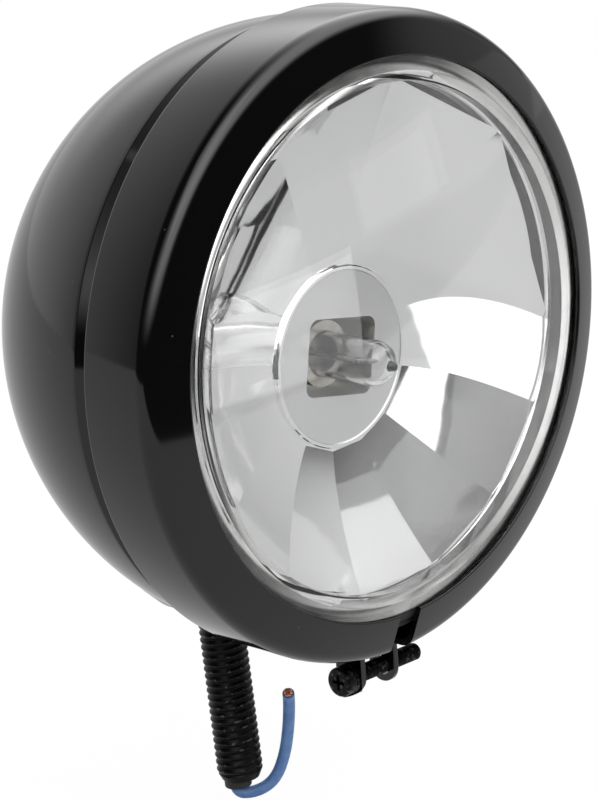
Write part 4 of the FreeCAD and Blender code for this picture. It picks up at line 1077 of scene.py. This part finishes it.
class Reading:
    """A value in a node tree that takes part in sums."""

    def __init__(self, recipe, socket):
        self.recipe = recipe
        self.socket = socket

    def sum(self, operation, first, second):
        return self.recipe.add("ShaderNodeMath", {"operation": operation}, {0: first, 1: second})

    def __add__(self, other):
        return self.sum("ADD", self, other)

    def __radd__(self, other):
        return self.sum("ADD", other, self)

    def __sub__(self, other):
        return self.sum("SUBTRACT", self, other)

    def __rsub__(self, other):
        return self.sum("SUBTRACT", other, self)

    def __mul__(self, other):
        return self.sum("MULTIPLY", self, other)

    def __rmul__(self, other):
        return self.sum("MULTIPLY", other, self)


class Recipe:
    """The nodes of one finish."""

    def __init__(self, tree):
        self.tree = tree
        tree.nodes.clear()

    def add(self, kind, settings=None, sockets=None, output=0):
        """Any node: its settings first, then the values or links of its sockets."""
        node = self.tree.nodes.new(kind)
        for name, setting in (settings or {}).items():
            setattr(node, name, setting)
        for name, value in (sockets or {}).items():
            if isinstance(value, Reading):
                self.tree.links.new(value.socket, node.inputs[name])
            else:
                node.inputs[name].default_value = value
        return Reading(self, node.outputs[output]) if len(node.outputs) else node

    def place(self, stretch=(1, 1, 1), centre=(0, 0, 0)):
        """Object coordinates in metres, centred and stretched."""
        where = self.add("ShaderNodeTexCoord", output="Object")
        shifted = self.add("ShaderNodeVectorMath", {"operation": "SUBTRACT"}, {0: where, 1: centre})
        return self.add("ShaderNodeVectorMath", {"operation": "MULTIPLY"}, {0: shifted, 1: stretch})

    def noise(self, where, size, detail):
        """Noise from 0 to 1 whose lumps are about as large as size, in millimetres."""
        return self.add("ShaderNodeTexNoise", {},
                        {"Vector": where, "Scale": 1 / (size * MM), "Detail": detail})

    def off_axis(self, across, centre=(0, 0, 0)):
        """How far a point is from an axis through a centre, measured in the directions across it."""
        flat = self.place(across, centre)
        return self.add("ShaderNodeVectorMath", {"operation": "LENGTH"}, {0: flat}, output="Value")

    def band(self, value, low, high, start=0.0, end=1.0):
        """A soft step: start below low, end above high."""
        ends = {"From Min": low, "From Max": high, "To Min": start, "To Max": end}
        return self.add("ShaderNodeMapRange", {"interpolation_type": "SMOOTHSTEP"},
                        {"Value": value, **ends})

    def blend(self, share, first, second):
        """A colour between two colours."""
        return self.add("ShaderNodeMix", {"data_type": "RGBA"}, {0: share, 6: first, 7: second}, output=2)

    def bump(self, height, strength, distance):
        """A normal from a height, with the distance in millimetres."""
        return self.add("ShaderNodeBump", {},
                        {"Height": height, "Strength": strength, "Distance": distance * MM})

    def surface(self, **sockets):
        """The shader that all finishes share, by its socket names with _ for a space."""
        named = {name.replace("_", " "): value for name, value in sockets.items()}
        return self.add("ShaderNodeBsdfPrincipled", {}, named)

    def output(self, shader):
        """End the finish with its shader, and print how many nodes it took."""
        self.add("ShaderNodeOutputMaterial", {}, {"Surface": shader})
        print("finish of", len(self.tree.nodes), "nodes")


# %% [markdown]
# A new finish starts as an empty node tree. Colours read off a screen are eight-bit values with a
# curve in them, so they are turned into the straight scale that a shader works in.

# %% New finishes and screen colours
ACROSS_Y = (1, 0, 1)
ACROSS_Z = (1, 1, 0)


def new_finish(name):
    """An empty material and the recipe for its nodes."""
    print("making", name)
    material = bpy.data.materials.new(name)
    material.use_nodes = True
    return material, Recipe(material.node_tree)


def rgb(red, green, blue):
    """A colour in the shader's own scale, from the eight-bit values seen on a screen."""
    parts = [v / 255 for v in (red, green, blue)]
    return (*[p / 12.92 if p <= 0.04045 else ((p + 0.055) / 1.055) ** 2.4 for p in parts], 1)


# %% [markdown]
# The bucket, ring and saddle are sprayed with black enamel and baked. The coat is deep and glossy,
# with a faint orange peel, slight haze where hands rub it and a few specks of dust.

# %% Black enamel
ENAMEL_BLACK = (0.0015, 0.0016, 0.0016, 1)
DUST_GREY = (0.05, 0.05, 0.048, 1)
PEEL_SIZE = 2.2
HAZE_SIZE = 34
DUST_SPACING = 7
DUST_SIZE = (0.022, 0.034)


def make_black_enamel():
    """Gloss black paint."""
    finish, recipe = new_finish("black_enamel")
    where = recipe.place()
    peel = recipe.noise(where, PEEL_SIZE, 2.0)
    haze = recipe.noise(where, HAZE_SIZE, 4.0)
    dust = recipe.add("ShaderNodeTexVoronoi", {"feature": "F1"},
                      {"Vector": where, "Scale": 1 / (DUST_SPACING * MM)})
    speck = recipe.band(dust, *DUST_SIZE, 1, 0)
    colour = recipe.blend(speck, ENAMEL_BLACK, DUST_GREY)
    shader = recipe.surface(
        Base_Color=colour,
        Roughness=0.045 + haze * 0.05 + speck * 0.3,
        Specular_IOR_Level=0.5,
        Normal=recipe.bump(peel, 0.03, 0.05),
    )
    recipe.output(shader)
    return finish


black_enamel = make_black_enamel()

# %% [markdown]
# The stud, the screw and its washer are black zinc: a thin dull coat on steel that use has rubbed
# bright in spots. The bright spots are painted glints as well as wear. On the stud the spots are
# along the crests of the thread. Its axis goes through the origin, so a point's distance from there
# says whether it lies on a crest. The screw and its washer lie further out, so they are spotted
# all over.

# %% Black zinc
ZINC_BLACK = (0.002, 0.002, 0.002, 1)
ZINC_RUB_AND_GLINT = (0.07, 0.07, 0.072, 1)
CLOUD_SIZE = 3.5
GRAIN_SIZE = 0.35
RUB_AND_GLINT_SIZE = 1.1
RUB_AND_GLINT_EDGE = (0.56, 0.66)
CREST_EDGE = (0.14, 0.03)


def make_black_zinc():
    """Black plating with bright spots along the thread's crests, partly rubbed wear and partly painted
    glints.
    """
    finish, recipe = new_finish("black_zinc")
    where = recipe.place()
    cloud = recipe.noise(where, CLOUD_SIZE, 4.0)
    grain = recipe.noise(where, GRAIN_SIZE, 3.0)
    crest_start, crest_end = [(STUD_R - under) * MM for under in CREST_EDGE]
    crest = recipe.band(recipe.off_axis(ACROSS_Z), crest_start, crest_end)
    # Painted glints: the spots are lighter and metallic, partly wear and partly a painted highlight.
    rub_and_glint = recipe.band(recipe.noise(where, RUB_AND_GLINT_SIZE, 2.0), *RUB_AND_GLINT_EDGE) * crest
    shader = recipe.surface(
        Base_Color=recipe.blend(rub_and_glint, ZINC_BLACK, ZINC_RUB_AND_GLINT),
        Roughness=0.2 + cloud * 0.14,
        Metallic=rub_and_glint * 0.7,
        Specular_IOR_Level=0.12,
        Normal=recipe.bump(grain, 0.12, 0.03),
    )
    recipe.output(shader)
    return finish


black_zinc = make_black_zinc()

# %% [markdown]
# The reflector is moulded plastic with a vapour of aluminium on it. It is nearly a mirror, with the
# slight waviness of the mould. The disc round the bulb is satin, so its finish depends on how far a
# point is from the bulb's axis.

# %% Mirror metal
MIRROR_BRIGHT = (0.9, 0.9, 0.9, 1)
SATIN_BRIGHT = (0.88, 0.88, 0.88, 1)
SATIN_EDGE = (0.9, 0.7)
WAVE_SIZE = 16
VAPOUR_SIZE = 5


def make_mirror_metal():
    """Bright metal on plastic, satin within the bead of the disc."""
    finish, recipe = new_finish("mirror_metal")
    where = recipe.place()
    satin_end, mirror_start = [(DISC_R - inside) * MM for inside in SATIN_EDGE]
    satin = recipe.band(recipe.off_axis(ACROSS_Y, BULB_CENTRE), satin_end, mirror_start, 1, 0)
    wave = recipe.noise(where, WAVE_SIZE, 2.0)
    haze = recipe.noise(where, VAPOUR_SIZE, 3.0)
    shader = recipe.surface(
        Base_Color=recipe.blend(satin, MIRROR_BRIGHT, SATIN_BRIGHT),
        Metallic=1.0 - satin * 0.4,
        Roughness=0.03 + haze * 0.03 + satin * 0.24,
        Normal=recipe.bump(wave, 0.2, 0.25),
    )
    recipe.output(shader)
    return finish


mirror_metal = make_mirror_metal()

# %% [markdown]
# Two kinds of glass: the thick pressed lens, with faint ripples from its mould, and the thin clear
# capsule of the bulb. The part of the lens that the ring grips is painted black, a painted shadow
# for the shade in there, so its edge doesn't glow.

# %% Glass
GLASS_BEND = 1.5
SMEAR_SIZE = 12
PAINTED_SHADE_BLACK = (0.006, 0.006, 0.006, 1)
PAINTED_SHADE_SOFTNESS = 0.15


def make_glass(name, tint, ripple, ripple_size, painted_shade_from=None):
    """Clear glass with faint ripples, painted black as painted shade beyond a distance from the lamp's
    axis if one is given.
    """
    finish, recipe = new_finish(name)
    where = recipe.place()
    wave = recipe.noise(where, ripple_size, 2.0)
    haze = recipe.noise(where, SMEAR_SIZE, 3.0)
    shader = recipe.surface(
        Base_Color=tint,
        Roughness=haze * 0.008,
        Transmission_Weight=1.0,
        IOR=GLASS_BEND,
        Normal=recipe.bump(wave, ripple, 0.2),
    )
    # Painted shade: past this distance from the axis the glass is painted black for the shadow under the
    # ring.
    if painted_shade_from:
        far = recipe.off_axis(ACROSS_Y, AXIS_CENTRE)
        beyond = recipe.band(far, painted_shade_from * MM, (painted_shade_from + PAINTED_SHADE_SOFTNESS) * MM)
        band = recipe.surface(Base_Color=PAINTED_SHADE_BLACK, Roughness=0.6)
        shader = recipe.add("ShaderNodeMixShader", {}, {0: beyond, 1: shader, 2: band})
    recipe.output(shader)
    return finish


lens_glass = make_glass("pressed_glass", (0.985, 0.99, 0.988, 1), 0.02, 9, painted_shade_from=OPENING_R - 0.05)
bulb_glass = make_glass("capsule_glass", (0.98, 0.98, 0.98, 1), 0.01, 4)

# %% [markdown]
# The other finishes differ in colour, gloss and grain alone, so one function makes them all: a
# colour with a second one in soft clouds, a roughness that varies with a finer pattern, and a grain.

# %% Plain finishes
CLOUD_EDGE = (0.35, 0.7)
GLOSS_RANGE = 0.12
GRAIN_DEPTH = 0.04


def make_plain(name, colour, cloud_colour, cloud_size, roughness, grain_size, grain, metallic=0.0):
    """A clouded colour with a fine grain, by its sizes in millimetres."""
    finish, recipe = new_finish(name)
    where = recipe.place()
    cloud = recipe.noise(where, cloud_size, 4.0)
    fine = recipe.noise(where, grain_size, 3.0)
    shader = recipe.surface(
        Base_Color=recipe.blend(recipe.band(cloud, *CLOUD_EDGE), colour, cloud_colour),
        Roughness=roughness - GLOSS_RANGE / 2 + fine * GLOSS_RANGE,
        Metallic=metallic,
        Normal=recipe.bump(fine, grain, GRAIN_DEPTH),
    )
    recipe.output(shader)
    return finish


blue_pvc = make_plain("blue_pvc", rgb(82, 118, 172), rgb(96, 132, 182), 2.5, 0.42, 0.3, 0.12)
black_pvc = make_plain("black_pvc", rgb(16, 16, 17), rgb(24, 24, 25), 3, 0.5, 0.4, 0.1)
copper = make_plain("copper", rgb(222, 156, 122), rgb(196, 128, 96), 0.8, 0.4, 0.15, 0.1, 0.7)
zinc = make_plain("zinc_plate", rgb(188, 190, 192), rgb(160, 164, 168), 3, 0.3, 0.4, 0.1, 1.0)
nickel = make_plain("nickel_plate", rgb(198, 194, 186), rgb(176, 172, 164), 4, 0.22, 0.4, 0.05, 1.0)
tungsten = make_plain("tungsten", rgb(150, 150, 152), rgb(120, 120, 124), 0.6, 0.3, 0.1, 0.1, 1.0)
brass = make_plain("brass", rgb(206, 172, 92), rgb(186, 150, 76), 3, 0.28, 0.4, 0.08, 1.0)
rubber = make_plain("black_rubber", rgb(26, 26, 26), rgb(38, 38, 37), 4, 0.75, 0.3, 0.3)
sealant = make_plain("grey_sealant", rgb(232, 232, 230), rgb(238, 238, 236), 8, 0.2, 4, 0.01, 1.0)
ceramic = make_plain("white_ceramic", rgb(232, 230, 222), rgb(218, 214, 204), 2.5, 0.45, 0.25, 0.15)
red_plastic = make_plain("red_plastic", rgb(176, 34, 30), rgb(158, 26, 24), 3, 0.35, 0.4, 0.1)

# %% [markdown]
# Each new piece is now tied to the lamp: it rides on the one body, stands in for its CAD node, which
# is hidden, and takes its material. The nodes that stay as they are get materials too.

# %% Tie the pieces to the lamp


def tie(piece, node, finish):
    """Give a piece its material and its body, and hide the CAD node that it stands for."""
    piece.data.materials.clear()
    piece.data.materials.append(finish)
    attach(piece, "root")
    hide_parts(node)


tie(blue_wire, "supply_wire", blue_pvc)
tie(strands, "wire_strands", copper)
tie(bucket, "bucket", black_enamel)
tie(ring, "retaining_ring", black_enamel)
tie(stud, "mounting_stud", black_zinc)
tie(saddle, "stud_saddle", black_enamel)
tie(sleeve, "wire_sleeve", black_pvc)
tie(screw, "clamp_screw", black_zinc)
tie(washer, "clamp_lock_washer", black_zinc)
tie(lens, "lens", lens_glass)
tie(reflector, "reflector", mirror_metal)
tie(capsule, "bulb_envelope", bulb_glass)
tie(filament, "bulb_filament", tungsten)

KEPT_FINISHES = {
    "lens_sealant": sealant,
    "rim_gasket": rubber,
    "bulb_support_wires": tungsten,
    "bulb_base": nickel,
    "bulb_insulator": ceramic,
    "bulb_clip": zinc,
    "bulb_lead": blue_pvc,
    "lead_connector": red_plastic,
    "inner_lead": blue_pvc,
    "ground_terminal": brass,
    "ground_lead": black_pvc,
    "stud_wedge_washer": zinc,
    "stud_lock_washer": zinc,
    "stud_nut": zinc,
}
for name, finish in KEPT_FINISHES.items():
    nodes[name].data.materials.clear()
    nodes[name].data.materials.append(finish)
print("kept CAD nodes:", len(KEPT_FINISHES))

# %% [markdown]
# The lamp is shown in a white studio. The floor is plain and pale. It shows white to the camera and
# nearly white in mirrors and glass, and it keeps part of its own shading for the shadow. It ends a
# short way in front of the lamp, as a sheet on a table does, and the ring mirrors the dark beyond.

# %% Floor
FLOOR_HEIGHT = -46.9
FLOOR_SIZE = 9.0
FLOOR_FRONT = -0.36
FLOOR_MATT = (0.85, 0.85, 0.85, 1)
FLOOR_SEEN = (1, 1, 1, 1)
FLOOR_MIRRORED = (0.68, 0.68, 0.68, 1)
SEEN_SHARE = 0.96
MIRRORED_SHARE = 0.9


def make_floor():
    """The floor, with a matt shader for shadows and light of its own for what looks at it."""
    bpy.ops.object.select_all(action="DESELECT")
    middle = (0, FLOOR_SIZE / 2 + FLOOR_FRONT, FLOOR_HEIGHT * MM)
    bpy.ops.mesh.primitive_plane_add(size=FLOOR_SIZE, location=middle)
    floor = bpy.context.active_object
    floor.name = "studio_floor"
    finish, recipe = new_finish("white_floor")
    seen = recipe.add("ShaderNodeLightPath", output="Is Camera Ray")
    in_mirrors = recipe.add("ShaderNodeLightPath", output="Is Glossy Ray")
    in_glass = recipe.add("ShaderNodeLightPath", output="Is Transmission Ray")
    mirrored = in_mirrors + in_glass
    matt = recipe.add("ShaderNodeBsdfDiffuse", {}, {"Color": FLOOR_MATT})
    white = recipe.add("ShaderNodeEmission", {}, {"Color": FLOOR_SEEN, "Strength": 1.0})
    pale = recipe.add("ShaderNodeEmission", {}, {"Color": FLOOR_MIRRORED, "Strength": 1.0})
    shown = recipe.add("ShaderNodeMixShader", {}, {0: seen * SEEN_SHARE, 1: matt, 2: white})
    recipe.output(recipe.add("ShaderNodeMixShader", {}, {0: mirrored * MIRRORED_SHARE, 1: shown, 2: pale}))
    floor.data.materials.append(finish)
    print("floor at", round(floor.location.z, 4))


make_floor()

# %% [markdown]
# The room is white to the camera. The paint and the mirror see it as it is lit: a white wall behind
# the lamp, a pale patch on its right, and a broad soft window in front and above, in a dark room.
# The dark is what gives black paint its black, and the window gives it one soft streak. More lamps
# could do this, but a lamp's edge is a hard line in enamel, and a smooth glow in the world isn't.

# %% World
GLOW_SIDE = (0.3, 0.85, 0)
GLOW_EDGE = (0.20, 0.78)
ROOM_DARK = 0.04
FILL_SIDE = (0.94, -0.34, 0)
FILL_EDGE = (0.90, 0.98)
FILL_LEVEL = 0.45
WINDOW_SIDE = (0.375, -0.634, -0.676)
WINDOW_START = (-0.85, -0.25)
WINDOW_END = (0.05, 0.45)
UPWARDS = (0, 0, 1)
WINDOW_SILL = (0.15, 0.50)
WINDOW_LEVEL = 2.9


def make_world():
    """A world that is white to the camera and lit from three sides for everything else."""
    world = bpy.data.worlds.new("white_studio")
    bpy.context.scene.world = world
    world.use_nodes = True
    recipe = Recipe(world.node_tree)
    way = recipe.add("ShaderNodeTexCoord", output="Generated")

    def towards(side):
        """How far the direction looks towards a side."""
        return recipe.add("ShaderNodeVectorMath", {"operation": "DOT_PRODUCT"},
                          {0: way, 1: side}, output="Value")

    glow = recipe.band(towards(GLOW_SIDE), *GLOW_EDGE, ROOM_DARK, 1.0)
    glow = glow + recipe.band(towards(FILL_SIDE), *FILL_EDGE, 0.0, FILL_LEVEL)
    across = towards(WINDOW_SIDE)
    window = recipe.band(across, *WINDOW_START) * recipe.band(across, *WINDOW_END, 1.0, 0.0)
    glow = glow + window * recipe.band(towards(UPWARDS), *WINDOW_SILL, 0.0, WINDOW_LEVEL)
    seen = recipe.add("ShaderNodeLightPath", output="Is Camera Ray")
    level = glow + seen * (1 - glow)
    sky = recipe.add("ShaderNodeBackground", {}, {"Color": level, "Strength": 1.0})
    recipe.add("ShaderNodeOutputWorld", {}, {"Surface": sky})
    print("world of", len(world.node_tree.nodes), "nodes")


make_world()

# %% [markdown]
# One wide soft box above the camera's side lights the lamp from the top. Three small cards in front
# of it on the right are there for the mirror to see, since a facet is only as bright as what it
# faces. Their power is low, so that a colour renders about as bright as it is written.

# %% Soft boxes
LAMP_MIDDLE = (0, -0.03, 0.06)


def soft_box(name, place, size, power):
    """A rectangular area light that faces the lamp."""
    lamp = bpy.data.lights.new(name, "AREA")
    lamp.shape = "RECTANGLE"
    lamp.size, lamp.size_y = size
    lamp.energy = power
    box = bpy.data.objects.new(name, lamp)
    bpy.context.scene.collection.objects.link(box)
    box.location = place
    box.rotation_euler = (Vector(LAMP_MIDDLE) - Vector(place)).to_track_quat("-Z", "Y").to_euler()
    print(name, "of", power, "W")


soft_box("top_box", (-0.35, -0.6, 1.1), (0.9, 0.9), 1.5)
soft_box("front_card", lamp_point(165, -475, -92), (0.25, 0.13), 0.15)
soft_box("right_card", lamp_point(207, -207, 26), (0.10, 0.05), 0.008)
soft_box("right_wall", lamp_point(300, -260, 22), (0.60, 0.08), 0.028)
